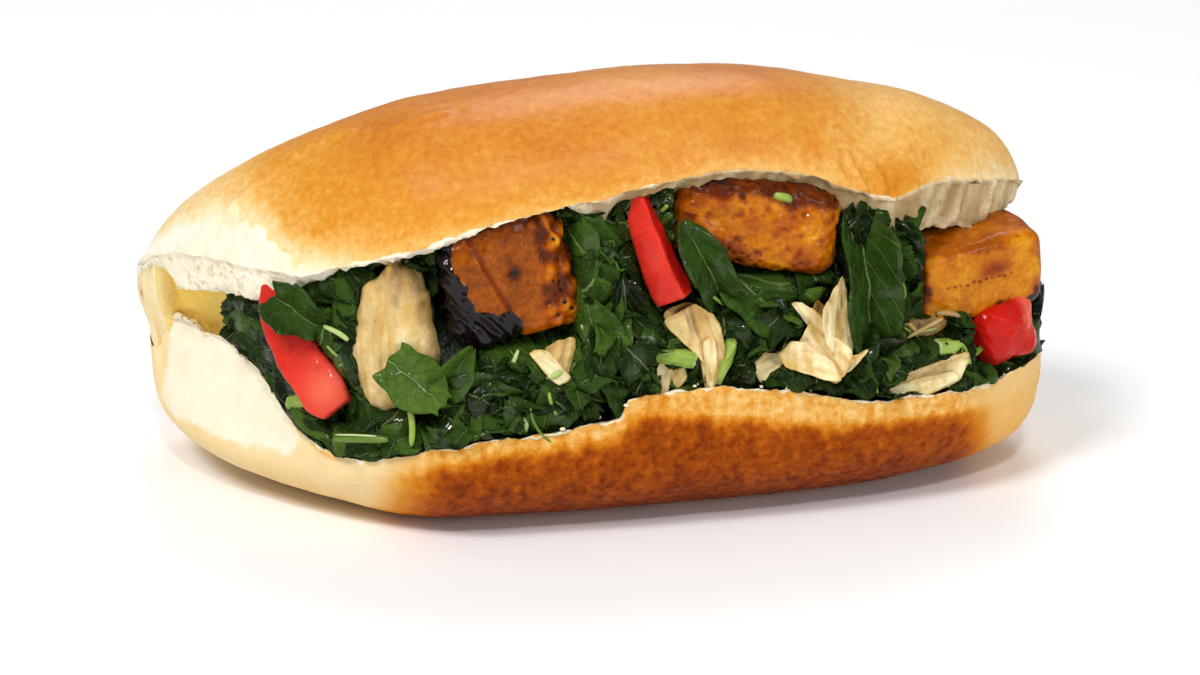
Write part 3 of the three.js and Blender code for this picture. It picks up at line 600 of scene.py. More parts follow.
def fish_material():
    """Flaked saltfish: cream, golden along its seams, grey-brown where its tint is higher; on the torn plates that tint
    includes painted shade in their folds.
    """
    material, g, shader = new_material("saltfish_flake")
    place_ = g.place()
    seam = g.attribute("seam")
    tint = g.attribute("tint")
    blotch = g.placed(MOTTLE, {"Vector": place_, "Scale": 240.0, "Contrast": 2.0}).outputs["Blotch"]
    drift = g.math("MULTIPLY", g.math("SUBTRACT", blotch, 0.5), 0.34)
    cream = g.ramp(g.math("ADD", tint, drift, clamp=True), [
        (0.0, (0.92, 0.78, 0.47)), (0.25, (0.74, 0.54, 0.23)), (0.5, (0.46, 0.32, 0.14)),
        (0.75, (0.25, 0.15, 0.055)), (1.0, (0.10, 0.050, 0.020)),
    ])
    along = g.node("ShaderNodeVectorMath", {0: place_, 1: (1.0, 1.0, 0.22)}, operation="MULTIPLY").outputs[0]
    grain_lines = g.noise(along, 2.6, 3.0)
    streaked = g.math("ADD", seam, g.math("MULTIPLY", g.math("SUBTRACT", grain_lines, 0.42), 3.0))
    golden = g.mix(g.math("MULTIPLY", g.range(streaked, 0.0, 0.9), 0.60), cream, (0.58, 0.32, 0.055))
    specks = g.math("MULTIPLY", g.spots(place_, 3.1, 0.09), 0.9)
    colour = g.mix(specks, golden, (0.06, 0.035, 0.02))
    grain = g.placed(GRAIN, {"Vector": place_, "Scale": 1000.0, "Pits": 0.4}).outputs["Height"]
    normal = g.bump(grain, 0.22, 0.7)
    roughness = g.mix(blotch, (0.30,) * 3, (0.5,) * 3)
    dress(g, shader, colour, roughness, normal, Specular_IOR_Level=0.14, Subsurface_Weight=0.15,
          Subsurface_Scale=0.003)
    return material


def floor_material():
    material, g, shader = new_material("pale_floor")
    shader.inputs["Base Color"].default_value = (0.98, 0.98, 0.98, 1)
    shader.inputs["Roughness"].default_value = 0.7
    shader.inputs["Specular IOR Level"].default_value = 0.1
    return material


# ---- Roll -------------------------------------------------------------------------------------

lower_lip_height = curve_through(LOWER_LIP)
upper_lip_arch = curve_through(UPPER_LIP)
crumb_hang = curve_through(CRUMB_HANG)
heap_fill = curve_through(HEAP_FILL)

NOTCH_X = -6.0       # where a torn step crosses the lower lip
NOTCH_RISE = 3.6     # how much higher the lip is just right of it
LIP_DETAIL = [       # how much higher than the solid's the torn lower lip runs
    (-88, 1.0), (-74, 1.0), (-70, 0.6), (-66, -1.4), (-62, -3.2), (-58, -3.4), (-54, -2.2), (-49, -0.7), (-43, 0),
    (-20, 0), (32, 0), (40, -0.7), (50, -1.2), (62, -0.8), (74, 0.4), (80, 2.0), (86, 2.6),
]
TIP_LIP = 23.5       # where the lower half's front and back rims meet at the left tip
TORN_HANG = [        # how far torn crumb hangs below the lid's lip, just behind it
    (-86, 1.0), (-81, 4.6), (-74, 5.4), (-66, 3.6), (-59, 0.8), (-40, 0.3), (-15, 0.6), (-10.5, 2.6),
    (-6, 0.6), (4, 1.0), (12, 2.2), (22, 2.4), (28, 2.0), (36, 2.2), (42, 3.4), (50, 5.0), (60, 5.6), (68, 4.8),
    (76, 3.0), (82, 1.0), (86, 0),
]


lip_detail = curve_through(LIP_DETAIL)
torn_hang = curve_through(TORN_HANG)


def taper(u, power):
    """Half-width of a superellipse: 1 in the middle of the roll and 0 at its tips."""
    return (1 - np.abs(u) ** power) ** (1 / power)


def bend(distance, slope):
    """How far a section moves back past the bend: slope times distance, starting gently."""
    past = np.maximum(0, distance)
    return slope * past * past / (past + 10)


def stations(count):
    """Places along the roll from tip to tip, a sine apart so that they close up at the tips."""
    return 0.999999 * np.sin((np.arange(count) / (count - 1) - 0.5) * np.pi)[:, None]


def lip_step(x):
    """How the torn lower lip runs: a step up at the notch that fades away to its right, and small rises."""
    step = NOTCH_RISE * smooth((x - NOTCH_X + 1) / 2) * (1 - smooth((x - 4) / 24))
    return step + lip_detail(x)


def lower_section(u):
    x = u * ROLL_HALF_LENGTH
    left = u < 0
    width = taper(u, np.where(left, BOTTOM["plan_left"], BOTTOM["plan_right"]))
    rise = np.where(left, BOTTOM["rise_left"], BOTTOM["rise_right"])
    return dict(
        x=x,
        centre_y=bend(BOTTOM["bend_from"] - x, BOTTOM["bend_slope"]),
        half_depth=BOTTOM["half_depth"] * width,
        half_height=BOTTOM["half_height"] * (0.15 + 0.85 * width ** rise),
        lean=BOTTOM["lean"] * smooth((BOTTOM["lean_from"] - x) / BOTTOM["lean_reach"]),
        lip=lerp(lower_lip_height(x) + lip_step(x), TIP_LIP, smooth((-u - 0.955) / 0.045)),
    )


def lower_skin(section, angle):
    """Superellipse section: cosine across and sine up, each to the power of 2 over the section's own."""
    power = 2 / BOTTOM["section_power"]
    across = signed_power(np.cos(angle), power)
    z = BOTTOM["middle"] + section["half_height"] * signed_power(np.sin(angle), power)
    lean = section["lean"] * smooth((z - 4) / 24) * np.clip(across, 0, 1) * np.minimum(1, section["half_depth"] / 14)
    y = section["centre_y"] - section["half_depth"] * across + lean
    return np.stack([section["x"] + 0 * z, y, np.maximum(z, 0)], -1)


def lower_angle(section, height):
    sine = np.clip((height - BOTTOM["middle"]) / section["half_height"], -0.999, 0.999)
    return np.arcsin(signed_power(sine, BOTTOM["section_power"] / 2))


def back_lip(u, lip):
    """Height of the lower half's back rim, which meets the front one at both tips."""
    left = lerp(BOTTOM["back_lip"], TIP_LIP, smooth((-u - 0.9) / 0.1))
    return lerp(left, lip, smooth((u - 0.72) / 0.27))


def lower_rings(u, skin, cut):
    """Rings of the lower half: its skin from the front lip to the back one, then its dished cut face."""
    section = lower_section(u)
    start = lower_angle(section, section["lip"])
    end = -np.pi - lower_angle(section, back_lip(u, section["lip"]))
    outside = lower_skin(section, lerp(start, end, skin))
    front, back = outside[:, :1], outside[:, -1:]
    inside = lerp(back, front, cut[:, None])
    hollow = BOTTOM["dish"] * (1 - (2 * cut - 1) ** 4) * np.minimum(1, section["half_depth"] / 20)
    inside[..., 2] -= hollow
    return np.concatenate([outside, inside], axis=1)


def place_lid(points):
    """From the lid's own frame to its place: back to the hinge line, tilted open and rolled."""
    tilt, roll = math.radians(LID["tilt"]), math.radians(LID["roll"])
    x, y, z = points[..., 0], points[..., 1] - LID["half_depth"], points[..., 2]
    back = y * math.cos(tilt) + z * math.sin(tilt)
    rise = -y * math.sin(tilt) + z * math.cos(tilt)
    return np.stack([
        x * math.cos(roll) + rise * math.sin(roll) + LID["shift_x"],
        back + LID["hinge_y"],
        -x * math.sin(roll) + rise * math.cos(roll) + LID["hinge_z"],
    ], -1)


def lid_skin(u, angle):
    """Superellipse dome in the lid's own frame, its front lip arched up or down along the roll."""
    left = u < 0
    x = u * np.where(left, LID["half_left"], LID["half_right"])
    width = taper(u, np.where(left, LID["plan_left"], LID["plan_right"]))
    power = 2 / LID["section_power"]
    across = signed_power(np.cos(angle), power)
    rise = signed_power(np.sin(angle), power)
    top = np.clip(rise, 0, 1)
    arch = upper_lip_arch(x) * smooth(across) * (1 - 0.85 * top)
    lift = LID["left_lift"] * smooth((LID["lift_from"] - x) / LID["lift_reach"]) * (1 - top)
    y = bend(LID["bend_from"] - x, LID["bend_slope"]) - LID["half_depth"] * width * across
    return np.stack([x + 0 * y, y, LID["height"] * width * rise + arch + lift], -1)


def lid_rings(u, skin, cut):
    """Rings of the lid: its skin from the front lip over the top to the back, then its cut face."""
    outside = lid_skin(u, lerp(-LID["under_tuck"], np.pi + LID["under_tuck"], skin))
    front, back = outside[:, :1], outside[:, -1:]
    fade = np.minimum(1, (back[..., 1] - front[..., 1]) / 40)
    inside = lerp(back, front, cut[:, None])
    hang = crumb_hang(front[..., 0]) * fade * np.exp(-(((cut - 0.9) / 0.08) ** 2))
    inside[..., 2] = (back[..., 2] + (front[..., 2] - back[..., 2]) * smooth(2 * cut - 1)
                      + LID["hollow"] * (1 - (2 * cut - 1) ** 4) * fade - hang)
    return place_lid(np.concatenate([outside, inside], axis=1))


def from_lip(rings, count):
    """Distance in millimetres along the skin from the front lip, and beyond it a large number."""
    steps = np.linalg.norm(np.diff(rings[:, :count], axis=1), axis=-1)
    walked = np.concatenate([np.zeros((len(rings), 1)), np.cumsum(steps, axis=1)], axis=1)
    rest = np.full((len(rings), rings.shape[1] - count), 99.0)
    return np.concatenate([walked, rest], axis=1)


def to_front_lip(rings, count):
    """Distance in millimetres along the cut face to the front lip, and 0 on the skin."""
    steps = np.linalg.norm(np.diff(np.concatenate([rings[:, count:], rings[:, :1]], axis=1), axis=1), axis=-1)
    left = np.cumsum(steps[:, ::-1], axis=1)[:, ::-1]
    return np.concatenate([np.zeros((len(rings), count)), left], axis=1)


BREAD_ROWS = 430
SKIN_POINTS = 130
CUT_POINTS = 64


def dense_at_start(count, power):
    return np.linspace(0, 1, count) ** power


def crumb_relief(points, mask, seed, pores=1.0, lumps=0.5):
    """Open crumb: pores in two sizes cut into a rough face, in millimetres, where the mask is 1."""
    large = smooth(1 - cell_distance(points, 3.6, seed) / 0.62)
    small = smooth(1 - cell_distance(points, 1.7, seed + 5) / 0.6)
    return mask * (lumps * rough(points, 4.5, 5, seed) - pores * (0.7 * large + 0.4 * small))


WRINKLES = [
    # path on the lid, depth and half-width of the furrow
    ([(-72.4, -6.5, 58.4), (-68.3, -6.2, 62.1), (-63.9, -6.1, 65.2), (-59.2, -5.9, 68.3), (-54.7, -7.1, 70.7),
      (-50.3, -9.3, 72.6)], 0.75, 1.1),
    ([(-70.0, -8.0, 60.0), (-64.5, -8.8, 64.3), (-59.5, -10.0, 66.9), (-54.6, -11.8, 69.2)], 0.45, 0.9),
    ([(-66.0, -3.0, 64.4), (-61.5, -3.1, 67.4), (-57.0, -3.6, 70.0)], 0.5, 0.9),
    ([(-60.5, -12.5, 65.4), (-56.5, -13.2, 67.8), (-52.8, -14.3, 69.4)], 0.3, 0.8),
    ([(-45.6, -15.7, 74.1), (-42.1, -16.6, 75.0), (-38.6, -17.4, 75.9), (-34.1, -18.1, 77.1)], 0.4, 1.2),
    ([(38.4, -31.2, 68.0), (38.8, -31.9, 66.7), (40.1, -32.7, 64.4), (41.1, -33.6, 62.3)], 0.7, 0.6),
    ([(41.6, -30.4, 67.6), (43.4, -30.9, 66.2), (44.7, -31.8, 63.5), (45.3, -32.6, 61.8)], 0.6, 0.7),
    ([(34.6, -32.2, 68.2), (36.4, -33.2, 65.6), (37.6, -33.8, 63.8)], 0.45, 0.6),
]


def lid_shape():
    """The lid's rings, moved along their normals by unevenness, wrinkles, a torn patch and crumb."""
    skin = dense_at_start(SKIN_POINTS, 1.35)
    cut = np.sort(1 - dense_at_start(CUT_POINTS + 1, 1.7)[1:])
    rings = lid_rings(stations(BREAD_ROWS), skin, cut)
    normal = -grid_normals(rings)
    x, y, z = (rings[..., n] for n in range(3))
    above = from_lip(rings, SKIN_POINTS)
    inward = to_front_lip(rings, SKIN_POINTS)
    on_skin = np.arange(rings.shape[1])[None, :] < SKIN_POINTS
    # torn white patch along the left lip, with a ragged upper edge that fades into the crust
    reach = 10.5 * hump(x, -71, 8.0) + 2.4 * rough(rings, 4.5, 4, 11)
    torn = on_skin * smooth((reach - above) / 3.0) * smooth((-57 - x) / 5)
    bare = lerp(0.5, 0.1, smooth((x + 14) / 8))
    lip_line = np.where(on_skin, smooth((bare + 0.5 * rough(rings, 3.0, 3, 21) - above) / 0.8), 1.0)
    crumb = np.maximum(torn, lip_line)
    move = 0.45 * rough(rings, 26, 3, 3) + 0.10 * rough(rings, 5, 3, 4)
    for path, depth, width in WRINKLES:
        gap = distance_to_path(rings, path)
        ridges = np.exp(-((gap - 2.1 * width) / width) ** 2)
        move = move - depth * (np.exp(-(gap / width) ** 2) - 0.3 * ridges)
    fluff = 0.75 * rough(rings * [1, 0.6, 1], 4.2, 4, 35) + 0.2 * rough(rings, 1.6, 3, 38)
    move = move * on_skin - 0.5 * torn + torn * fluff
    inside = ~on_skin * 1.0
    move = move + crumb_relief(rings, inside, 31, 0.55, 0.5)
    move = move + on_skin * lip_line * 0.25 * rough(rings, 1.8, 3, 36)
    depth = np.ptp(rings[:, SKIN_POINTS:, 1], axis=1)[:, None]
    torn_under = inside * hump(inward, 6, 8)
    grain = np.stack([x + 0.8 * y, 2.2 * (z - 0.5 * x), y], -1)
    move = move + torn_under * (0.7 * rough(grain, 5.0, 5, 39) + 0.5 * rough(rings, 3.0, 4, 42)
                                - 0.8 * smooth(1 - cell_distance(rings, 2.4, 40) / 0.55))
    points = rings + normal * (move * smooth(depth / 16))[..., None]
    # torn crumb hangs below the front lip in fibres, just behind it
    set_back = lerp(0.0, 1.2, smooth((x + 20) / 20))
    hang = torn_hang(x) * smooth((inward - set_back) / 2.2) * np.exp(-(np.maximum(0, inward - 4.5) / 4.5) ** 2)
    shred = 1 + 0.24 * rough(rings * [1, 0.5, 0.5], 8.0, 2, 41)
    points[..., 2] -= hang * shred * inside * smooth((depth - 5) / 14)
    points[..., 1] += 0.6 * inside * hump(inward, 3, 4) * rough(rings, 2.6, 4, 43) * smooth(depth / 20)
    points[..., 2] += on_skin * 0.45 * rough(rings, 5, 3, 51) * np.exp(-above / 1.2) * smooth(depth / 16)
    bake = (0.50
            - 0.17 * np.exp(-above / 3.0) * (1 - 0.8 * hump(x, 46, 12))
            - 0.30 * smooth((-44 - x) / 40)
            - 0.17 * smooth((x - 22) / 34) * (1 - 0.9 * hump(x, 47, 11) * np.exp(-(above / 8) ** 2))
            - 0.14 * smooth((reach + 8 - above) / 8) * smooth((-50 - x) / 8)
            + 0.06 * hump(x, 47, 7) * hump(above, 3, 4)
            + 0.05 * rough(rings, 16, 3, 61))
    bake = bake - 0.18 * smooth((y - 34) / 10) * smooth((40 - z) / 12)
    # golden tint strong near the left fold is painted light through the thin bread; the faint tint to the right is the
    # crumb's own tone
    warm = inside * np.maximum(0.9 * smooth((-50 - x) / 14) * smooth((inward - 5) / 4), 0.25 * smooth((x + 16) / 20))
    shade = inside * smooth((x + 20) / 14) * lerp(0.88, 0.76, smooth((x - 42) / 12))
    shade = np.clip(shade * (1 + 0.7 * rough(grain, 5, 4, 45)), 0, 1)
    sheen = on_skin * smooth((z - 60) / 14) * lerp(0.45, 0.7, smooth((x + 50) / 60))
    return lofted(points, crumb=crumb, bake=np.clip(bake, 0, 1), mottled=0.5 + 0 * bake, open=inside * 0.8,
                  warm=warm, shade=shade, sheen=sheen)


def lower_shape():
    """The lower half's rings, pitted and browned in front, pale and torn at the left end."""
    skin = dense_at_start(SKIN_POINTS, 1.5)
    cut = np.sort(1 - dense_at_start(CUT_POINTS + 1, 1.7)[1:])
    rings = lower_rings(stations(BREAD_ROWS), skin, cut)
    normal = -grid_normals(rings)
    x, y, z = (rings[..., n] for n in range(3))
    below = from_lip(rings, SKIN_POINTS)
    inward = to_front_lip(rings, SKIN_POINTS)
    on_skin = np.arange(rings.shape[1])[None, :] < SKIN_POINTS
    inside = ~on_skin * 1.0
    torn = smooth((-60 - x + 1.6 * rough(rings, 9, 3, 12)) / 6) * on_skin
    torn = torn * smooth((z - 10 + 1.5 * rough(rings, 9, 3, 13)) / 6) * smooth((24 - y) / 10)
    lip_line = np.where(on_skin, smooth((0.35 + 0.8 * rough(rings, 2.4, 3, 22) - below) / 0.8), 1.0)
    crumb = np.maximum(torn, lip_line)
    edge_line = on_skin * hump(below, 0.6, 0.5) * smooth((-54 - x) / 6) * smooth((x + 76) / 6)
    crumb = crumb * (1 - 0.7 * edge_line)
    pits = smooth(1 - cell_distance(rings * [1.15, 1, 0.8], 2.3, 61) / 0.55)
    front = smooth((x + 58) / 16) * on_skin
    move = on_skin * 0.35 * rough(rings, 22, 3, 5) + front * (0.13 * rough(rings, 1.8, 3, 6) - 0.20 * pits)
    ribs = np.sin(x * 0.95 + 0.8 * rough(rings, 9, 2, 71)) * hump(x, -55, 9) * smooth((z - 2) / 6)
    move = move + 0.32 * ribs * on_skin
    move = move + torn * (0.22 * rough(rings * [0.6, 0.6, 1.2], 4.0, 4, 34) - 0.25)
    move = move + crumb_relief(rings, inside, 32, 0.8, 0.5) + on_skin * lip_line * 0.25 * rough(rings, 1.8, 3, 37)
    depth = np.ptp(rings[:, SKIN_POINTS:, 1], axis=1)[:, None]
    points = rings + normal * (move * smooth(depth / 16))[..., None]
    lip_rise = np.where(on_skin, np.exp(-below / 0.7), np.exp(-inward / 2.0)) * smooth(depth / 16)
    points[..., 2] += lip_rise * (0.45 * rough(rings * [1, 0.4, 0.4], 3.2, 4, 81) + 0.15)
    ridge = inside * hump(inward, 4.5, 4.5) * smooth((-60 - x) / 8) * smooth((depth - 12) / 14)
    points[..., 2] += ridge * (2.4 + 1.6 * rough(rings, 5, 4, 82))
    points[..., 2] = np.where(z < 0.6, np.maximum(points[..., 2], 0) * 0.4, points[..., 2])
    points[..., 2] = np.maximum(points[..., 2], 0)
    left_pale = smooth((-36 - x) / 17) * (1 - 0.35 * smooth((y - 24) / 14))
    right_pale = smooth((x - 60 + 4 * (z - 12) / 12) / 12)
    streaks = rough(rings * [1, 1, 0.3], 1.6, 3, 92)
    start = lerp(1.6, 4.6, smooth((x + 8) / 24)) - 2.0 * smooth((x - 30) / 20)
    band = 4.0 + 1.2 * noise(rings * [1, 0, 0], 2.2, 93)
    bake = (0.73 + 0.11 * smooth((16 - z) / 14)
            - 0.38 * (1 - smooth((below - start) / band))
            + 0.075 * streaks + 0.02 * rough(rings, 12, 3, 91))
    bake = bake - 0.30 * on_skin * smooth((2.2 - z) / 2)
    bake = lerp(bake, 0.17 + 0.10 * smooth((9 - z) / 9), left_pale)
    bake = lerp(bake, 0.25, 0.9 * right_pale)
    bake = bake - 0.2 * smooth((y - 20) / 20) * (1 - left_pale)
    bake = lerp(bake, 0.34, edge_line)
    mottled = smooth((x + 50) / 16) * smooth((68 - x) / 8)
    # golden tint near the left fold is painted light through the thin bread; the rest is the crumb's own tone
    warm = inside * np.maximum(0.5 * smooth((-54 - x) / 12) * smooth((y - 8) / 10), 0.25)
    shade = 0.35 * inside * smooth((x + 56) / 10) + 0.25 * lip_line * smooth((x + 50) / 20) * on_skin
    return lofted(points, crumb=np.clip(crumb, 0, 1), bake=np.clip(bake, 0, 1), mottled=0.1 + 0.8 * mottled,
                  open=inside, warm=warm, shade=shade)


WALL_FRONT, WALL_BACK = 2.6, 22     # how far along X the wall runs from the left tip, in front and behind
FOLD_FROM, FOLD_TO = -83.2, -58     # where the fold behind the mouth starts and ends
FOLD_SET_BACK = [(0, 0.6), (0.08, 3.2), (0.25, 5.5), (0.6, 7), (1, 9)]


def spline(path, t):
    """Point at share t of a smooth curve whose corners are evenly spread in t."""
    path = np.array(path, float)
    knots = np.linspace(0, 1, len(path))
    return np.stack([curve_through(np.column_stack([knots, path[:, n]]))(t) for n in range(3)], -1)


def even_shares(path, count):
    """Shares of a curve that are evenly far apart along it."""
    t = np.linspace(0, 1, 400)
    steps = np.linalg.norm(np.diff(spline(path, t), axis=0), axis=-1)
    walked = np.concatenate([[0], np.cumsum(steps)])
    return np.interp(np.linspace(0, walked[-1], count), walked, t)


def strip_rings(path, width, thickness, broad, ends=0.45, steps=90, around=72, even=True, corner=0.7):
    """Rings of a rounded oblong carried along a path: cosine by width along broad, sine by thickness."""
    t = np.linspace(0, 1, steps)
    shares = even_shares(path, steps) if even else t
    middle = spline(path, shares)
    tangent = np.gradient(middle, axis=0)
    tangent /= np.linalg.norm(tangent, axis=-1, keepdims=True)
    side = np.array(broad, float) - tangent * (tangent @ np.array(broad, float))[:, None]
    side /= np.linalg.norm(side, axis=-1, keepdims=True)
    out = np.cross(side, tangent)
    close = lerp(ends, 1, np.minimum(1, np.sqrt(8 * np.minimum(t, 1 - t))))
    angle = 2 * np.pi * (np.arange(around) + 0.5) / around
    wide = (close * curve_through(width)(t))[:, None] * signed_power(np.cos(angle), corner) / 2
    thick = (close * curve_through(thickness)(t))[:, None] * signed_power(np.sin(angle), corner) / 2
    return middle[:, None] + side[:, None] * wide[..., None] + out[:, None] * thick[..., None]


def back_edges(x):
    """Where the halves' back edges lie at places along the roll."""
    lower = lower_section(x / ROLL_HALF_LENGTH)
    low = np.stack([x, lower["centre_y"] + lower["half_depth"], 0 * x + BOTTOM["back_lip"]], -1)
    half = np.where(x < 0, LID["half_left"], LID["half_right"])
    high = place_lid(lid_skin(x / half, np.pi + LID["under_tuck"]))
    return low, high


def hinge_shape():
    """Uncut bread between the back edges; its section grows with the gap that it closes."""
    spans = 8
    low, high = back_edges(np.linspace(HINGE["from"], HINGE["to"], spans))
    middle = (low + high) / 2 - [0, HINGE["inset"], 0]
    share = np.linspace(0, 1, spans)
    overlap = lerp(HINGE["overlap_left"], HINGE["overlap"], smooth(np.arange(spans) / 3))
    heights = np.linalg.norm(high - low, axis=-1) + overlap
    rings = strip_rings(middle, [*zip(share, heights)], [(0, HINGE["depth"]), (1, HINGE["depth"])], (0, 0, 1),
                        steps=330, around=140, even=False)
    normal = outward_normals(rings)
    x = rings[..., 0]
    outer = smooth((normal[..., 1] + 0.25) / 0.5)
    crumb = 1 - outer
    furrows = np.abs(np.sin(rings[..., 2] * 0.55 + rough(rings, 12, 2, 15)))
    move = outer * (0.35 * rough(rings, 9, 4, 14) - 0.3 * furrows)
    move = move + crumb_relief(rings, crumb, 33, 0.5, 0.5)
    bake = lerp(0.46, 0.17, smooth((-34 - x) / 22)) + 0.08 * rough(rings, 7, 3, 16)
    # golden tint on the inner face towards the left is painted light through the thin bread
    warm = crumb * smooth((-40 - x) / 16)
    return lofted(rings + normal * move[..., None], crumb=crumb, bake=np.clip(bake, 0, 1), mottled=0.3 + 0 * bake,
                  open=crumb * 0.6, warm=warm)


def left_wall_shape():
    """Uncut bread round the left tip: between the two halves' rims outside, and a soft fold behind the mouth.

    Each ring runs up the outside from one rim to the other and back down the fold.
    """
    share = np.linspace(0, 1, 200)[:, None]
    v = np.linspace(0, 1, 70)[None]
    a = lerp(-1, 1, share)
    along = np.where(a < 0, WALL_FRONT, WALL_BACK) * a * a
    section = lower_section(-1 + 1e-5 + along / ROLL_HALF_LENGTH)
    front = lower_skin(section, lower_angle(section, section["lip"]))
    behind = lower_skin(section, -np.pi - lower_angle(section, back_lip(section["x"] / ROLL_HALF_LENGTH, section["lip"])))
    low = np.where(a[..., None] < 0, front, behind)
    u = -1 + 1e-5 + along / LID["half_left"]
    high = place_lid(np.where(a[..., None] < 0, lid_skin(u, -LID["under_tuck"]), lid_skin(u, np.pi + LID["under_tuck"])))
    inward = np.array([-58, 20, 0]) - (low + high) * [0.5, 0.5, 0]
    inward /= np.linalg.norm(inward, axis=-1, keepdims=True)
    bulge = 0.8 - 1.2 * np.sin(np.pi * v) ** 0.8 + 0.5 * np.sin(2 * np.pi * v) * smooth(share / 0.3)
    outside = low - [0, 0, 1.5] + v[..., None] * (high - low + [0, 0, 3.0]) + inward * bulge[..., None]
    fold_x = lerp(FOLD_FROM, FOLD_TO, share)
    back = curve_through(FOLD_SET_BACK)(share)
    bottom = mouth(fold_x, 0 * share, back) - [0, 0, 4]
    top = mouth(fold_x, 0 * share + 1, 1.3 * back)
    top[..., 2] += lerp(1.0, 4, smooth(share / 0.25))
    inside = lerp(bottom, top, v[..., None])
    hollow = smooth(share / 0.12) * (2.2 * np.sin(np.pi * v) + 0.7 * np.sin(4.5 * v + 9 * share))
    inside = inside + hollow[..., None] * [0.15, 1, 0]
    close = np.sqrt(1 - (1 - np.minimum(1, 16 * share)) ** 2)[..., None]
    inside = lerp(outside, inside, close)
    rings = np.concatenate([outside, inside[:, ::-1]], axis=1)
    normal = outward_normals(rings)
    within = np.concatenate([0 * v + 0 * share, 1 + 0 * v + 0 * share], axis=1)
    edge = 1 - smooth((share - 0.02) / 0.06)
    crumb = np.maximum(within, edge)
    move = 0.25 * rough(rings, 6, 4, 17) + 0.35 * within * rough(rings * [1, 1, 0.6], 3, 4, 18) * smooth(share / 0.1)
    # golden tint on the fold and its front edge is painted light through the thin bread
    warm = within * lerp(0.7, 1.0, smooth(share / 0.1)) * lerp(1, 0.6, smooth((share - 0.3) / 0.4)) + 0.5 * (1 - within) * edge
    return lofted(rings + normal * move[..., None], crumb=crumb, bake=0.13 + 0.05 * rough(rings, 7, 3, 19),
                  mottled=0.2 + 0 * crumb, open=0.2 * within, warm=warm)


# ---- Filling: shared shapes -------------------------------------------------------------------


def turns(angles):
    """Rotation matrices about X, Y and Z in turn, for angles in degrees."""
    a, b, c = (np.radians(np.asarray(angles, float)[..., n]) for n in range(3))
    zero, one = 0 * a, 1 + 0 * a
    about_x = np.stack([one, zero, zero, zero, np.cos(a), -np.sin(a), zero, np.sin(a), np.cos(a)], -1)
    about_y = np.stack([np.cos(b), zero, np.sin(b), zero, one, zero, -np.sin(b), zero, np.cos(b)], -1)
    about_z = np.stack([np.cos(c), -np.sin(c), zero, np.sin(c), np.cos(c), zero, zero, zero, one], -1)
    shape = a.shape + (3, 3)
    return about_x.reshape(shape) @ about_y.reshape(shape) @ about_z.reshape(shape)


def mouth(x, height, inset):
    """Point on the open front of the roll: height 0 on the lower lip and 1 on the upper lip."""
    lower = lower_section(np.clip(x / ROLL_HALF_LENGTH, -0.97, 0.97))
    low = lower_skin(lower, lower_angle(lower, lower["lip"]))
    half = np.where(x < 0, LID["half_left"], LID["half_right"])
    high = place_lid(lid_skin(np.clip(x / half, -0.97, 0.97), -LID["under_tuck"]))
    point = lerp(low, high, np.asarray(height)[..., None])
    return point + np.asarray(inset)[..., None] * np.array([0, 1, 0])


def block_shape(size, at, turn, power=5.0, lump=0.4, seed=1, cells=72, finish=None):
    """Rounded block: directions of a cube's six gridded faces, scaled so that x^n + y^n + z^n is 1."""
    t = np.tan(np.linspace(-1, 1, cells + 1) * np.pi / 4)
    a, b = np.meshgrid(t, t, indexing="ij")
    one = np.ones_like(a)
    faces = [(one, a, b), (-one, b, a), (b, one, a), (a, -one, b), (a, b, one), (b, a, -one)]
    way = np.stack([np.stack(face, -1) for face in faces])
    unit = way / (np.abs(way) ** power).sum(-1, keepdims=True) ** (1 / power)
    swell = 1 + (lump / size[0]) * np.sin(3 * unit[..., 0] + seed) * np.cos(
        4 * unit[..., 1] + 2 * unit[..., 2] + seed)
    local = unit * np.array(size) * swell[..., None]
    outward = np.sign(unit) * np.abs(unit) ** (power - 1) / np.array(size)
    outward /= np.linalg.norm(outward, axis=-1, keepdims=True)
    move, values = finish(local, unit, outward)
    local = local + outward * move[..., None]
    n = cells + 1
    i, j = np.meshgrid(np.arange(cells), np.arange(cells), indexing="ij")
    quad = np.stack([i * n + j, i * n + j + 1, (i + 1) * n + j + 1, (i + 1) * n + j], -1).reshape(-1, 4)
    quads = np.concatenate([quad + k * n * n for k in range(6)])
    points = local.reshape(-1, 3)
    keys = np.round(points * 1000).astype(np.int64)
    _, first, same = np.unique(keys, axis=0, return_index=True, return_inverse=True)
    same = same.reshape(-1)
    turned = points[first] @ turns(turn).T + np.array(at)
    return dict(
        points=turned,
        quads=same[quads],
        triangles=np.zeros((0, 3), int),
        values={name: value.reshape(-1)[first] for name, value in values.items()},
    )


# ---- Plantain ---------------------------------------------------------------------------------


def fried_face(points, seed, blister=0.35, pit=0.3):
    """Relief of a fried face: soft blisters with small pits between them."""
    pits = smooth(1 - cell_distance(points, 2.0, seed + 3) / 0.5)
    return blister * rough(points, 5.0, 5, seed) - pit * pits


def near_line(x, z, start, end, reach):
    """1 on a straight line across a face, down to 0 at some reach to its sides."""
    line = np.array([[start[0], 0, start[1]], [end[0], 0, end[1]]])
    return hump(distance_to_path(np.stack([x, 0 * x, z], -1), line), 0, reach)


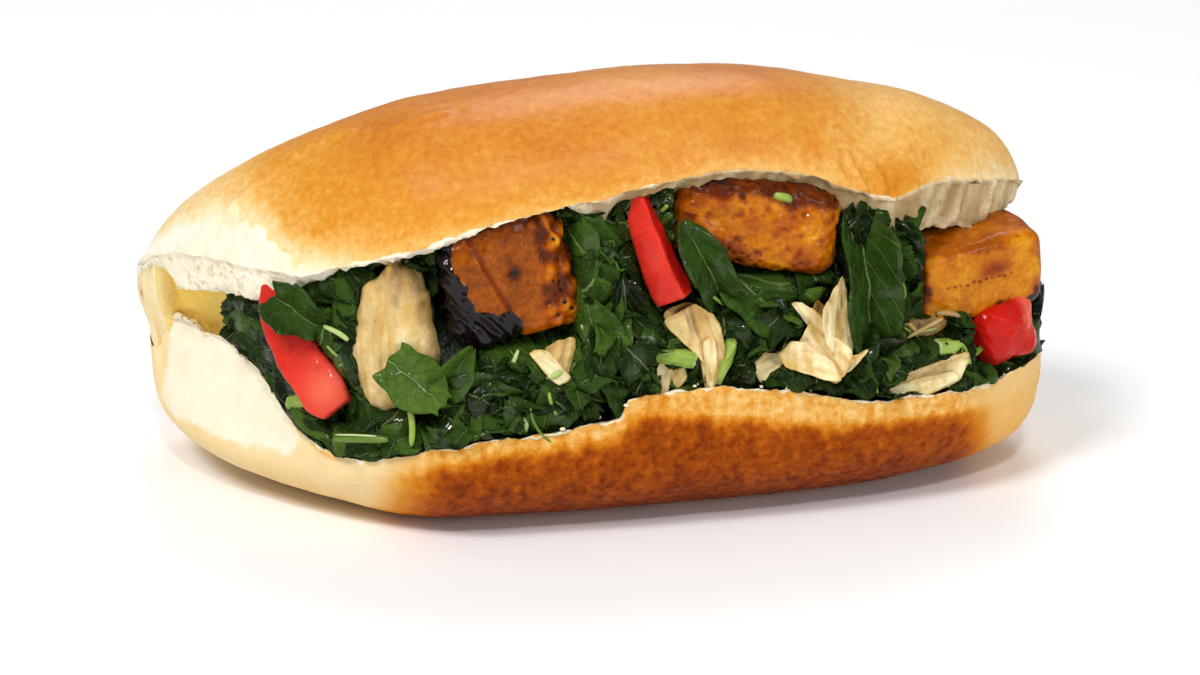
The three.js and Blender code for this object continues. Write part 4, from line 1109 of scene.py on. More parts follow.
def plantain_left_face(local, unit, outward):
    """Caught black along its left and lower left, amber beside it, caramel blisters right, orange below."""
    x, z = unit[..., 0], unit[..., 2]
    front = smooth(-outward[..., 1] * 2)
    wander = 0.18 * rough(local, 5, 4, 101)
    left_band = smooth((-0.56 - 0.05 * z - x + wander) / 0.18)
    low_left = smooth((-0.50 - z - 0.55 * x + wander) / 0.22) * smooth((0.15 - x) / 0.3)
    spot = hump(np.hypot(x - 0.07, (z - 0.11) * 1.2), 0, 0.12)
    red_line = near_line(x, z, (-0.47, 0.8), (-0.12, -0.42), 0.035)
    yellow_line = near_line(x, z, (0.62, 0.95), (0.80, 0.35), 0.035)
    right = smooth((x - 0.36 + 0.6 * wander) / 0.14)
    bubbles = smooth(1 - cell_distance(local, 3.2, 103) / 0.75)
    specks = smooth(1 - cell_distance(local, 1.9, 104) / 0.5)
    low = smooth((-0.52 - z + 0.5 * wander) / 0.2) * smooth((x - 0.05) / 0.3)
    back = smooth((outward[..., 1] - 0.2) * 3)
    char = np.maximum.reduce([left_band, 0.95 * low_left, 0.55 * spot, 0.80 * right * specks])
    fried = (0.53 + 0.06 * z + right * (0.30 - 0.62 * bubbles) + 0.35 * spot + 0.30 * red_line - 0.45 * yellow_line
             - 0.16 * low + 0.16 * smooth((z - 0.6) / 0.3) - 0.1 * back + 0.12 * wander)
    folds = np.sin(local[..., 0] * 2.3 + local[..., 2] * 1.3 + wander * 7) * (0.6 + 0.6 * rough(local, 4, 3, 105))
    folds = 0.8 * folds * np.maximum(left_band, low_left)
    move = fried_face(local, 102, 0.25, 0.2) + right * (1.0 * bubbles - 0.5 * specks) + 0.7 * folds
    move = move + 0.25 * yellow_line - 0.35 * red_line - 0.5 * low_left * front
    return move, dict(fried=np.clip(fried, 0, 1), char=np.clip(char, 0, 1),
                      red=np.clip(0.6 * low + 0.5 * red_line + 0.10 * right, 0, 1))


def plantain_middle_face(local, unit, outward):
    """Rough and pitted, bright orange, with dark pits, a top darkened as painted shadow of the lid, and a scorched
    lower edge.
    """
    x, z = unit[..., 0], unit[..., 2]
    wander = rough(local, 5, 4, 112)
    warped = local + 0.8 * np.stack([rough(local, 3, 2, s) for s in (116, 117, 118)], -1)
    holes = smooth(1 - cell_distance(warped, 3.4, 111) / 0.42)
    fine = smooth(1 - cell_distance(warped, 1.4, 115) / 0.5)
    # the top is darkened as painted shadow from the lid over it, through both fried and char
    top = smooth((z - 0.42 + 0.12 * wander) / 0.25)
    left = smooth((-0.35 - x + 0.2 * wander) / 0.5)
    patches = smooth((rough(local, 7, 3, 113) + 0.15) / 0.5)
    low = smooth((-0.45 - z + 0.3 * wander) / 0.3)
    fried = (0.27 + 0.40 * holes + 0.18 * wander + 0.55 * top + 0.26 * left + 0.36 * fine * patches + 0.22 * low)
    char = (0.62 * holes * patches + 0.50 * top * smooth((wander + 0.1) / 0.5)
            + 0.5 * fine * smooth((low + patches - 0.9) / 0.5))
    move = 0.50 * rough(local, 4, 5, 114) - 0.40 * holes - 0.35 * fine
    return move, dict(fried=np.clip(fried, 0, 1), char=np.clip(char, 0, 1), red=np.clip(0.15 + 0.4 * wander, 0, 0.6))


def plantain_right_face(local, unit, outward):
    """Golden and smooth, with a row of tiny seeds, a red-brown blister and scorched edges."""
    x, y, z = (unit[..., n] for n in range(3))
    wander = rough(local, 4, 4, 121)
    front = smooth(-outward[..., 1] * 2)
    n = np.arange(11)
    seeds = sum(hump(np.hypot((x - cx) * 1.25, (z - cz) * 0.9), 0, 0.022 + 0.012 * draw(900 + k))
                for k, cx, cz in zip(n, -0.62 + 0.105 * n + 0.03 * draw(700 + n), 0.02 + 0.05 * draw(800 + n)))
    seeds = np.clip(seeds, 0, 1) * front
    blister = hump(np.hypot((x - 0.16) / 1.3, z - 0.30), 0, 0.17)
    low = smooth((-0.58 - z + 0.25 * wander) / 0.2) * smooth((x + 0.1) / 0.3)
    edges = smooth((np.abs(z) - 0.80 + 0.10 * wander) / 0.14) * 0.5
    left = smooth((-0.84 - x + 0.06 * wander) / 0.1)
    right = smooth((x - 0.74 + 0.12 * wander) / 0.2)
    fried = 0.20 + 0.45 * blister + 0.5 * low + 0.5 * left + 0.7 * seeds + 0.08 * wander + edges * 0.4 + 0.2 * right
    char = 0.52 * low * smooth((wander + 0.2) / 0.5) + 0.40 * left
    move = fried_face(local, 123, 0.15, 0.06) + 0.35 * blister - 0.2 * seeds
    return move, dict(fried=np.clip(fried, 0, 1), char=np.clip(char, 0, 1), red=np.clip(0.7 * blister + 0.3 * right, 0, 1))


PLANTAIN = {
    "plantain_left": dict(size=(12.2, 11, 12.2), at=(-26.4, -26.8, 49.8), turn=(0, -13, 3), seed=1,
                          finish=plantain_left_face),
    "plantain_middle": dict(size=(16.2, 10.5, 8.4), at=(20.6, -27, 56.8), turn=(-4, 11, 0), seed=2,
                            finish=plantain_middle_face),
    "plantain_right": dict(size=(13.4, 8.4, 7.9), at=(65.6, -20.8, 42.9), turn=(9, -4, 12), seed=4, power=8,
                           finish=plantain_right_face),
}

# ---- Red pepper -------------------------------------------------------------------------------


def pepper_strip(path, width, thickness, broad, flesh_side, painted_glow_at=None, ends=0.45, corner=0.55, seed=0):
    """Strip with skin on one face and flesh on the cut ones, a little ridged along its length, and a painted glow of
    light round one point.
    """
    rings = strip_rings(path, width, thickness, broad, ends=ends, steps=110, around=84, corner=corner)
    normal = outward_normals(rings)
    flesh = smooth((normal @ np.array(flesh_side, float) - 0.25) / 0.3)
    ends_cut = np.zeros(rings.shape[:2])
    ends_cut[:3] = ends_cut[-3:] = 1
    flesh = np.maximum(flesh, ends_cut)
    # painted glow: paler colour round one point where light would shine through the flesh
    glow = 0 * flesh if painted_glow_at is None else 0.6 * hump(np.linalg.norm(rings - np.array(painted_glow_at), axis=-1), 0, 4)
    move = 0.30 * rough(rings, 7, 3, seed) + 0.10 * rough(rings, 1.8, 3, seed + 1)
    return lofted(rings + normal * move[..., None], flesh=flesh, glow=glow)


def pepper_square_face(local, unit, outward):
    """Glossy square of pepper with soft dents and pale cut edges, which also carry a painted glow of light through
    them.
    """
    rim = smooth((unit[..., 0] - 0.15) / 0.5) * smooth((unit[..., 2] + 0.5) / 0.8)
    dents = 0.45 * rough(local, 4.5, 4, 131) - 0.25 * smooth(1 - cell_distance(local, 3.0, 134) / 0.5)
    return dents, dict(flesh=0.9 * rim, glow=0.5 * rim)


PEPPER_STRIPS = {
    "pepper_left": dict(
        path=[(-63.2, -16, 50), (-65.2, -17, 42.5), (-63.2, -20.4, 35.5), (-59.4, -24.5, 29), (-56.6, -27.2, 25)],
        width=[(0, 7.6), (0.3, 7.6), (0.7, 8.6), (0.92, 8.6), (1, 7.0)], thickness=[(0, 4.4), (1, 4.4)],
        broad=(0.93, -0.36, 0), flesh_side=(0.1, -1, 0.1), painted_glow_at=(-58.6, -27.5, 29), ends=0.8, corner=0.42, seed=132,
    ),
    "pepper_middle": dict(
        path=[(-2.2, -33.0, 63.6), (-0.6, -35.6, 57.5), (1.6, -37.2, 51), (4.1, -38.4, 45.2)],
        width=[(0, 4.6), (0.5, 5.6), (1, 6.6)], thickness=[(0, 4.2), (1, 4.8)],
        broad=(0.80, -0.60, 0), flesh_side=(-0.7, -0.9, 0), ends=0.85, corner=0.35, seed=133,
    ),
}

# ---- Saltfish ---------------------------------------------------------------------------------


def closed_outline(corners, count):
    """Smooth closed line through the corners, as evenly numbered points."""
    corners = np.array(corners, float)
    n = len(corners)
    t = np.arange(count) / count * n
    i = np.floor(t).astype(int)
    f = (t - i)[:, None]
    p0, p1, p2, p3 = (corners[(i + k) % n] for k in (-1, 0, 1, 2))
    m1, m2 = 0.4 * (p2 - p0), 0.4 * (p3 - p1)
    return ((2 * f ** 3 - 3 * f ** 2 + 1) * p1 + (f ** 3 - 2 * f ** 2 + f) * m1
            + (-2 * f ** 3 + 3 * f ** 2) * p2 + (f ** 3 - f ** 2) * m2)


def flake_shape(outline, thickness, at, turn=(0, 0, 0), ridge=0.35, grain=90, seed=0, tint=0.1, layer=3.2,
                brown=None):
    """Domed flake: rings from its middle to a ragged rim on both faces, stepped in layers across its grain."""
    rim = closed_outline(outline, 150)
    centre = rim.mean(axis=0)
    ragged = 1 + 0.045 * rough(np.column_stack([rim, 0 * rim[:, 0]]), 2.6, 4, seed)[:, None]
    rim = centre + (rim - centre) * ragged
    reaches = np.concatenate([np.linspace(0.03, 0.9, 34), np.linspace(0.93, 1, 6)])
    flat = centre + (rim[None] - centre) * reaches[:, None, None]
    dome = np.sqrt(np.maximum(0, 1 - reaches ** 6))[:, None]
    angle = math.radians(grain)
    across = flat[..., 0] * math.sin(angle) - flat[..., 1] * math.cos(angle)
    along = flat[..., 0] * math.cos(angle) + flat[..., 1] * math.sin(angle)
    rings, seams = [], []
    for side in (-1, 1):
        field = np.stack([across, 0.35 * along, 0 * across + 40 * side], -1)
        warped = across + 1.6 * rough(field, 6, 4, seed + 2)
        share = warped / layer - np.floor(warped / layer)
        step = share - smooth((share - 0.80) / 0.20)
        patchy = smooth((rough(field, 5, 2, seed + 5) + 0.35) / 0.6)
        fibres = rough(np.stack([warped, 0.10 * along, 0 * across + 40 * side], -1), 1.2, 3, seed + 3)
        lift = ridge * (patchy * (0.8 * step - 0.4) + 0.7 * fibres + 0.35 * rough(field, 4, 2, seed + 6)) * dome
        y = side * ((0.12 + 0.88 * dome) * thickness / 2 + lift)
        rings.append(np.stack([flat[..., 0], y, flat[..., 1]], -1))
        seam = patchy * smooth((share - 0.78) / 0.16) * (1 - smooth((share - 0.95) / 0.05))
        seams.append(0.5 * seam + 0.45 * smooth((reaches[:, None] - 0.93) / 0.07) + 0.6 * np.maximum(0, -fibres))
    grid = np.concatenate([rings[0], rings[1][::-1]])
    seam = np.clip(np.concatenate([seams[0], seams[1][::-1]]), 0, 1)
    tone = tint + 0.20 * rough(grid * [1, 1, 0.45], 3.5, 4, seed + 4)
    for cx, cz, reach, strength in brown or ():
        tone = tone + strength * hump(np.hypot(grid[..., 0] - cx, grid[..., 2] - cz), 0, reach)
    turned = grid @ turns(turn).T + np.array(at)
    return lofted(turned, seam=seam, tint=np.clip(tone, 0, 1))


def plate_shape(corners, lie, grain, tint, seed, thickness=0.8, cup=1.0):
    """Torn plate of flesh: rings from its middle to a ragged rim on both faces, dished, with fibres along it.

    The corners are given across and up; lie holds how far forward it is, and how that changes across and up.
    """
    rim = closed_outline(corners, 160)
    centre = rim.mean(axis=0)
    flat = np.column_stack([rim, 0 * rim[:, 0]])
    rim = centre + (rim - centre) * (1 + 0.05 * rough(flat, 1.8, 4, seed))[:, None]
    reach = np.concatenate([np.linspace(0.03, 0.9, 26), np.linspace(0.93, 1, 5)])[:, None]
    x, z = np.moveaxis(centre + (rim[None] - centre) * reach[..., None], -1, 0)
    angle = math.radians(grain)
    across = x * math.sin(angle) - z * math.cos(angle)
    along = x * math.cos(angle) + z * math.sin(angle)
    fibres = rough(np.stack([across, 0.16 * along, 0 * x + seed], -1), 1.0, 3, seed + 1)
    folds = rough(np.stack([across, 0.45 * along, 0 * x + seed], -1), 3.2, 3, seed + 2)
    span = np.linalg.norm(rim - centre, axis=1).mean()
    y = lie[0] + lie[1] * (x - centre[0]) + lie[2] * (z - centre[1])
    y = y - cup * span / 5 * reach ** 2 + 0.75 * folds
    half = thickness / 2 * np.sqrt(1 - 0.95 * reach ** 6)
    front = np.stack([x, y - half - 0.16 * fibres, z], -1)
    back = np.stack([x, y + half - 0.16 * fibres, z], -1)
    edge = smooth((reach - 0.86) / 0.14) * smooth(noise(np.stack([x, y, z], -1), 2.5, seed + 3) + 0.6)
    # darker towards the rim and along its fibres as the fish's own tone, and darker where a fold sets the plate back,
    # as painted shade in the fold
    tone = tint + 0.24 * edge + 0.20 * np.maximum(0, folds) + 0.32 * np.maximum(0, fibres - 0.05) - 0.04
    grid = np.concatenate([front, back[::-1]])
    return lofted(grid, seam=0.4 * np.concatenate([edge, edge[::-1]]), tint=np.clip(np.concatenate([tone, tone[::-1]]), 0, 1))


def beyond_plate(points, corners):
    """Millimetres beyond a plate's outline, seen from the front: below 0 within it."""
    rim = closed_outline(corners, 90)
    centre = rim.mean(axis=0)
    away, reach = points[..., [0, 2]] - centre, rim - centre
    own, around = (np.arctan2(way[..., 1], way[..., 0]) for way in (away, reach))
    return np.linalg.norm(away, axis=-1) - np.interp(own, around, np.linalg.norm(reach, axis=1), period=2 * np.pi)


SALTFISH_FLAKES = {
    "saltfish_left": dict(
        outline=[(4.4, 13.4), (6.4, 9.6), (7.6, 4), (8.4, -3), (7.2, -8.5), (1, -13.6), (-1.4, -14.8), (-5.6, -10),
                 (-7.6, -3), (-6.6, 3.5), (-4.6, 9.0), (-1, 12.0), (0.6, 15.0), (2.4, 14.2)],
        thickness=8, at=(-46.4, -29.5, 39.2), turn=(0, 0, -26), ridge=0.60, grain=84, seed=141, tint=0.29,
        layer=3.6, brown=[(2.5, 14, 4.5, 0.55), (-5.8, -8, 1.8, 0.30), (7.5, 6, 3.0, 0.25), (-6.5, 3, 2.5, 0.18)],
    ),
    "saltfish_under": dict(
        outline=[(-6.4, 2.4), (-1.4, 0.6), (4.4, 3), (6.6, 0), (1.4, -3.2), (-4, -2.6)],
        thickness=5, at=(54.8, -28.4, 34.6), turn=(-10, 0, 14), grain=30, seed=146, tint=0.62, layer=2.2,
    ),
}
# torn plates of each smaller piece: corners across and up, how it lies, which way its fibres run, how brown it is
SALTFISH_PLATES = {
    "saltfish_wedge": [
        ([(-20, 37.5), (-17, 39), (-14.5, 39), (-14.5, 35.5), (-16, 32.5), (-18.5, 35)], (-38.4, 0.1, 0.1), 70, 0.34),
        ([(-23, 37), (-20, 37.5), (-17, 34), (-15.5, 32), (-18, 31), (-20.5, 33.5)], (-39.4, 0, 0), -42, 0.06),
    ],
    "saltfish_drape": [
        ([(2, 42.5), (6, 44), (9.5, 43), (10, 40), (7, 38.5), (4, 39.5)], (-37.6, 0.1, 0.2), 20, 0.55),
        ([(2, 41), (4, 43), (7.5, 44), (11, 42), (13, 37.5), (12.5, 32), (10, 26.5), (9, 30),
          (9.5, 32.5), (7.5, 35), (4.5, 38)], (-38.8, 0.1, 0.1), 110, 0.24),
        ([(9, 37), (11, 38), (11.5, 33.5), (10.5, 27.5), (9.5, 29.5)], (-39.8, 0, 0), 100, 0.04),
    ],
    "saltfish_shred": [
        ([(33, 41), (31, 43), (29.5, 39.5), (30, 34), (34, 30), (35.5, 33)], (-37.6, 0.2, 0), 110, 0.52),
        ([(25.5, 43.5), (28, 43), (31, 41), (32.5, 37.5), (35, 36), (37, 33), (34, 28), (30, 30.5),
          (26.5, 33.5), (28, 37), (29, 40)], (-39.4, -0.2, 0), 125, 0.05),
        ([(35, 48), (36, 45), (36.5, 41.5), (38, 34.5), (35, 31.5), (32.5, 35), (31, 39), (31, 42),
          (33, 45)], (-39.8, 0.3, 0), 95, 0.10),
        ([(23, 34.5), (26.5, 36.5), (30.5, 34.5), (33.5, 32), (34.5, 29), (32, 29), (27.5, 30.5), (24, 32)],
         (-40.6, 0, 0.2), 160, 0.02),
        ([(34.5, 34.5), (37.5, 33), (40, 34), (38.5, 31.5), (36, 29), (34, 28)], (-39.8, -0.3, 0), 50, 0.12),
        ([(19, 32.5), (21, 34), (23.5, 34.5), (24.5, 32), (22.5, 30.5), (20.5, 28.5), (19, 30.5)],
         (-39.2, 0, 0), 30, 0.02),
    ],
    "saltfish_right": [
        ([(46, 25), (48.5, 26.5), (54.5, 28), (58.5, 29), (62.5, 29.5), (62.5, 27), (60.5, 24.5), (56, 23),
          (51.5, 22.5), (47.5, 23.5)], (-33.8, 0.15, 0.2), 14, 0.04),
        ([(46.5, 24.5), (50.5, 25.5), (55, 26), (59.5, 26.5), (60.5, 25), (56, 23), (51.5, 22.5)],
         (-34.8, 0.15, 0.1), 10, 0.03),
    ],
    "saltfish_chip": [
        ([(-0.5, 32.5), (1.5, 33.5), (3.5, 32.5), (3.5, 30), (2, 26.5), (0.5, 27.5), (1, 30)], (-38.9, 0, 0), 80, 0.06),
        ([(3.5, 31.5), (5.5, 32.5), (6.5, 30.5), (4.5, 28.5), (3.5, 29.5)], (-38.7, 0, 0), 60, 0.18),
    ],
}

# ---- Stalks and stems -------------------------------------------------------------------------

STALK = {
    "stalk_left": ([(-63.6, -15.6, 23.2), (-61, -18.4, 24.4), (-58.6, -21, 25.6)], 3.2),
    "stalk_middle": ([(-0.4, -38.4, 35.6), (3.8, -39.8, 34.8), (7.4, -40, 33.8)], 3.5),
    "stalk_upright": ([(15.6, -38, 38), (13.6, -38.8, 33.4), (11.6, -38.8, 29)], 2.7),
    "stalk_right": ([(56, -34, 31), (59, -33, 30.7), (61.8, -31.4, 30.2)], 3.2),
}


def stalk_shape(path, width, seed):
    """Cut stalk: a round section carried along its path, finely ribbed along it, its ends cut flat."""
    size = [(0, width), (1, 0.9 * width)]
    rings = strip_rings(path, size, size, (0.3, 0, 1), ends=0.9, steps=46, around=40)
    angle = 2 * np.pi * np.arange(40) / 40
    normal = outward_normals(rings)
    move = 0.06 * np.sin(9 * angle)[None] + 0.10 * rough(rings, 2.5, 3, seed)
    tint = 0.62 + 0.15 * rough(rings, 3, 3, seed + 1)
    tint[:2] = tint[-2:] = 0.95
    return lofted(rings + normal * move[..., None], tint=np.clip(tint, 0, 1))


# ---- Callaloo ---------------------------------------------------------------------------------


def behind_pieces(points):
    """1 behind the middle of each piece that shows, eased to 0 two millimetres beyond its box."""
    share = 0
    for name in ITEM_NODES:
        gap = item_gap(points, name)
        share = np.maximum(share, smooth((2 - gap) / 4))
    return share


def heap_core_shape():
    """Sections from the front of the mouth back to the hinge, lumpy as packed chopped leaves."""
    rows, around = 230, 170
    along = np.linspace(0, 1, rows)[:, None]
    x = lerp(HEAP["start"], HEAP["end"], along)
    size = np.maximum(0.3, taper(2 * along - 1, 4))
    fill = heap_fill(x)
    low = mouth(x, 0 * x, 0 * x + 6)
    high = mouth(x, fill, 0 * x + 7)
    bread = lower_section(x / ROLL_HALF_LENGTH)
    back_y = bread["centre_y"] + bread["half_depth"] - 16
    middle_z = (low[..., 2] + high[..., 2]) / 2 - 5
    half_depth = size * (back_y - np.minimum(low[..., 1], high[..., 1])) / 2
    half_height = size * ((high[..., 2] - low[..., 2]) / 2 + np.where(fill < 1, 5, 7))
    angle = -2 * np.pi * (np.arange(around) + 0.5)[None] / around
    y = (low[..., 1] + back_y) / 2 + half_depth * signed_power(np.cos(angle), 0.5)
    z = middle_z + half_height * signed_power(np.sin(angle), 0.5)
    rings = np.stack([x + 0 * z, y, z], -1)
    normal = outward_normals(rings)
    folds = 1.4 * rough(rings, 7, 4, 151) - 0.9 * np.abs(noise(rings, 3.5, 152))
    points = rings + normal * (folds - 0.3)[..., None]
    points[..., 1] += 7 * behind_pieces(points) * smooth((10 - points[..., 1]) / 20)
    return lofted(points, tint=0.1 + 0 * folds)


def sheets(columns, rows, at, turn, length, width, fold, wave, seed, curl, cut, thickness, tint):
    """Many leaves at once, each a grid folded along its midrib, curled along its length and ruffled.

    Both faces carry the same grid, half the thickness to either side, and a rim joins them.
    """
    count = len(length)
    u, v = np.meshgrid(np.linspace(0, 1, columns + 1), np.linspace(0, 1, rows + 1), indexing="ij")
    along, across = 2 * u[None] - 1, 2 * v[None] - 1
    length, width, fold, wave, seed, curl, cut = (
        np.asarray(n, float)[:, None, None] for n in (length, width, fold, wave, seed, curl, cut))
    pointed = np.maximum(0.16, (1 - np.abs(along) ** 2.4) ** 0.7)
    chopped = np.maximum(0.55, 1 - 0.3 * np.abs(along + 0.4 * np.sin(seed)) ** 3)
    half = width / 2 * lerp(pointed, chopped, cut)
    edge = 1 + 0.10 * np.sin(4 * along + seed) * np.abs(across) + 0.03 * np.sin(9 * along + 2.3 * seed) * across ** 2
    z = across * half * edge
    x = along * length / 2 * (1 + 0.05 * np.sin(6 * across + seed))
    ripple = wave * np.sin(3.2 * along + seed) * (0.4 + across * 0.6)
    ruffle = 0.50 * wave * np.sin(6.5 * along + 1.7 * seed + across) * across ** 2
    y = fold * np.abs(across) * half / 4 + ripple + ruffle
    field = np.stack([x + 37 * np.sin(seed), y, z + 29 * np.cos(seed)], -1)
    y = y + 0.75 * rough(field, 5.0, 3, 161) - 1.0 * np.abs(noise(field, 4.2, 165)) + 0.25 * noise(field, 1.7, 167)
    bent = curl / length
    x, y = np.sin(x * bent) / bent - y * np.sin(x * bent), (1 - np.cos(x * bent)) / bent + y * np.cos(x * bent)
    middle = np.stack([x, y, z], -1)
    matrix = turns(turn)
    middle = np.einsum("nij,nabj->nabi", matrix, middle) + np.asarray(at, float)[:, None, None]
    step_u = np.gradient(middle, axis=1)
    step_v = np.gradient(middle, axis=2)
    normal = np.cross(step_v, step_u)
    normal /= np.maximum(np.linalg.norm(normal, axis=-1, keepdims=True), 1e-9)
    faces = np.stack([middle + normal * thickness / 2, middle - normal * thickness / 2], 1)
    size = (columns + 1) * (rows + 1)
    i, j = np.meshgrid(np.arange(columns), np.arange(rows), indexing="ij")
    a = (i * (rows + 1) + j).ravel()
    top = np.stack([a, a + 1, a + rows + 2, a + rows + 1], -1)
    bottom = np.stack([a, a + rows + 1, a + rows + 2, a + 1], -1) + size
    loop = np.concatenate([
        np.arange(columns) * (rows + 1), columns * (rows + 1) + np.arange(rows),
        columns * (rows + 1) + rows - np.arange(columns) * (rows + 1), rows - np.arange(rows)])
    after = np.roll(loop, -1)
    rim = np.stack([loop, after, after + size, loop + size], -1)
    template = np.concatenate([top, bottom, rim])
    quads = (template[None] + 2 * size * np.arange(count)[:, None, None]).reshape(-1, 4)
    uv = np.broadcast_to(np.stack([u, v], -1)[None, None], (count, 2, columns + 1, rows + 1, 2)).reshape(-1, 2)
    shade = np.broadcast_to(np.asarray(tint, float)[:, None, None, None], (count, 2, columns + 1, rows + 1))
    return dict(points=faces.reshape(-1, 3), quads=quads, triangles=np.zeros((0, 3), int),
                values=dict(tint=shade.reshape(-1)), uv=uv)


NAMED_LEAVES = [
    # place, turn, length, width, fold, wave, curl, how squarely it is chopped, tint
    ((41.0, -36.6, 44.8), (0, 84, -8), 27, 10.5, -4.6, 2.2, 1.3, 0.25, 0.50),
    ((-43.4, -37.8, 32.4), (-6, 42, -20), 12.5, 10, -1.2, 0.3, 0.3, 0.9, 0.88),
    ((-37.4, -38.8, 33.4), (0, -58, -10), 13.5, 6.5, -2.2, 0.4, 0.4, 0.1, 0.72),
    ((-62.9, -23.4, 42.9), (0, 34, -26), 10.0, 8.4, -2.6, 2.0, 1.1, 0.8, 0.50),
    ((9.6, -39.6, 51.2), (0, 62, 10), 19, 8, -3.2, 1.6, 1.2, 0.3, 0.50),
    ((19.0, -38.0, 45.5), (0, 40, 0), 17, 11, -2.4, 1.0, 0.8, 0.5, 0.55),
    ((-11.0, -36.0, 55.6), (0, 62, 4), 17, 9.5, -2.0, 1.0, 0.9, 0.4, 0.55),
    ((80, -15, 25), (0, 30, 40), 12, 7, 1, 0.6, 0.4, 0.3, 0.40),
    ((-10.2, -38.8, 38.6), (4, 70, 8), 14, 9, -2.2, 0.9, 1.0, 0.4, 0.66),
    ((-31.2, -39.4, 29.6), (8, 15, -4), 13, 9, -1.8, 0.9, 0.8, 0.5, 0.50),
    ((-18.6, -39.6, 27.4), (4, 120, 6), 12, 9, -1.8, 0.9, 0.8, 0.5, 0.42),
    ((-5.6, -39.0, 29.8), (4, 60, -6), 12, 9, -2.0, 0.9, 0.9, 0.5, 0.45),
    ((41.6, -36.6, 28.6), (6, 20, -4), 14, 7, -1.6, 0.9, 0.8, 0.4, 0.72),
    ((16.4, -38.4, 32.4), (0, 100, 8), 12, 8, -1.8, 0.9, 0.9, 0.4, 0.48),
    ((-58.2, -27.2, 40.6), (-4, 100, -30), 14, 8, -2.0, 1.0, 1.0, 0.4, 0.55),
    ((-33.8, -34.6, 55.6), (0, 60, -8), 12, 7, -2.0, 0.9, 0.9, 0.4, 0.50),
    ((-69.6, -3.6, 31.6), (10, -28, -40), 8, 3.6, -1.6, 0.8, 0.8, 0.2, 0.85),
    ((-65.0, -12.8, 36.4), (0, 70, -42), 9, 4.5, -2.4, 1.0, 1.2, 0.3, 0.60),
]
LEAF_COLUMNS, LEAF_ROWS = 26, 16
OVER_PIECES = 5
OVERLAPPING = OVER_PIECES * 2 * (LEAF_COLUMNS + 1) * (LEAF_ROWS + 1)   # corners of the first few, which lie over pieces
HEAP_ENDS = [(-60.5, -1, 2, 4, 14), (76.5, 1, 4, -12, 6)]
ITEM_NODES = [*PLANTAIN, *PEPPER_STRIPS, "pepper_right", *SALTFISH_FLAKES, *SALTFISH_PLATES, *STALK]


def node_box(name):
    """A node's corners in millimetres in the roll's own frame."""
    low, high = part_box(name)
    return np.array(low) / MM - ORIGIN_SHIFT, np.array(high) / MM - ORIGIN_SHIFT


def hidden_spots(spots, margin):
    """True for each spot that lies in front of or behind a piece that shows."""
    hidden = np.zeros(len(spots), bool)
    for name in [*PLANTAIN, "pepper_right", "saltfish_left"]:
        low, high = node_box(name)
        hidden |= ((spots[:, 0] > low[0] + margin) & (spots[:, 0] < high[0] - margin)
                   & (spots[:, 2] > low[2] + margin - 1) & (spots[:, 2] < high[2] - margin + 1))
    for entry in NAMED_LEAVES[:OVER_PIECES]:
        near = np.abs(spots - np.array(entry[0]))
        hidden |= (near[:, 0] < 4) & (near[:, 2] < 4 + 0.2 * entry[2])
    return hidden


def item_gap(points, name):
    """Millimetres from a piece's outline, seen from the front: below 0 within it."""
    x, z = points[..., 0], points[..., 2]
    if name in PEPPER_STRIPS:
        flat = np.stack([x, 0 * x, z], -1)
        path = [(px, 0, pz) for px, _, pz in PEPPER_STRIPS[name]["path"]]
        return distance_to_path(flat, path) - 4.4
    if name in SALTFISH_PLATES:
        return np.minimum.reduce([beyond_plate(points, plate[0]) for plate in SALTFISH_PLATES[name]])
    low, high = node_box(name)
    return np.maximum.reduce([low[0] - x, x - high[0], low[2] - z, z - high[2]]) + 1.0


def tucked(shape, skip=0):
    """The same shape with whatever crosses a piece that shows moved back behind its face, bar the first few."""
    points = shape["points"].copy()
    for name in ITEM_NODES:
        low, high = node_box(name)
        behind = low[1] + min(7.0, 0.6 * (high[1] - low[1]))
        share = smooth((0.8 - item_gap(points, name)) / 1.8)
        share[:skip] = 0
        points[:, 1] = lerp(points[:, 1], np.maximum(points[:, 1], behind), share)
    return dict(shape, points=points)


def within_mouth(shape, skip=0, rise=0.6):
    """The same shape kept behind both lips, bar its first few: lifted over the lower and pushed back under the upper."""
    points = shape["points"].copy()
    x = np.clip(points[:, 0], -84, 84)
    lip = mouth(x, 0 * x, 0 * x)
    low = lip[:, 2] + rise + 0.5 * np.sin(0.9 * x)
    outside = smooth((lip[:, 1] + 3.5 - points[:, 1]) / 2.0)
    points[:, 2] = np.where(points[:, 2] < low, lerp(points[:, 2], low, outside), points[:, 2])
    over = np.minimum(0, points[:, 1] - lip[:, 1] + 0.5)
    points[:, 1] -= 0.65 * over
    top = mouth(x, 0 * x + 1, 0 * x)
    near = smooth((points[:, 2] - top[:, 2] + 3.5) / 3)
    points[:, 1] = lerp(points[:, 1], np.maximum(points[:, 1], top[:, 1] + 3), near)
    high = top[:, 2] - 0.4 - 0.75 * torn_hang(x)
    points[:, 2] = np.where(points[:, 2] > high, high + 0.3 * (points[:, 2] - high), points[:, 2])
    points[:skip] = shape["points"][:skip]
    return dict(shape, points=points)


def named_leaves():
    """The leaves that stand out, one by one."""
    at, turn, length, width, fold, wave, curl, cut, tint = (list(column) for column in zip(*NAMED_LEAVES))
    return sheets(LEAF_COLUMNS, LEAF_ROWS, at, turn, length, width, fold, wave, range(len(at)), curl, cut, 0.5, tint)


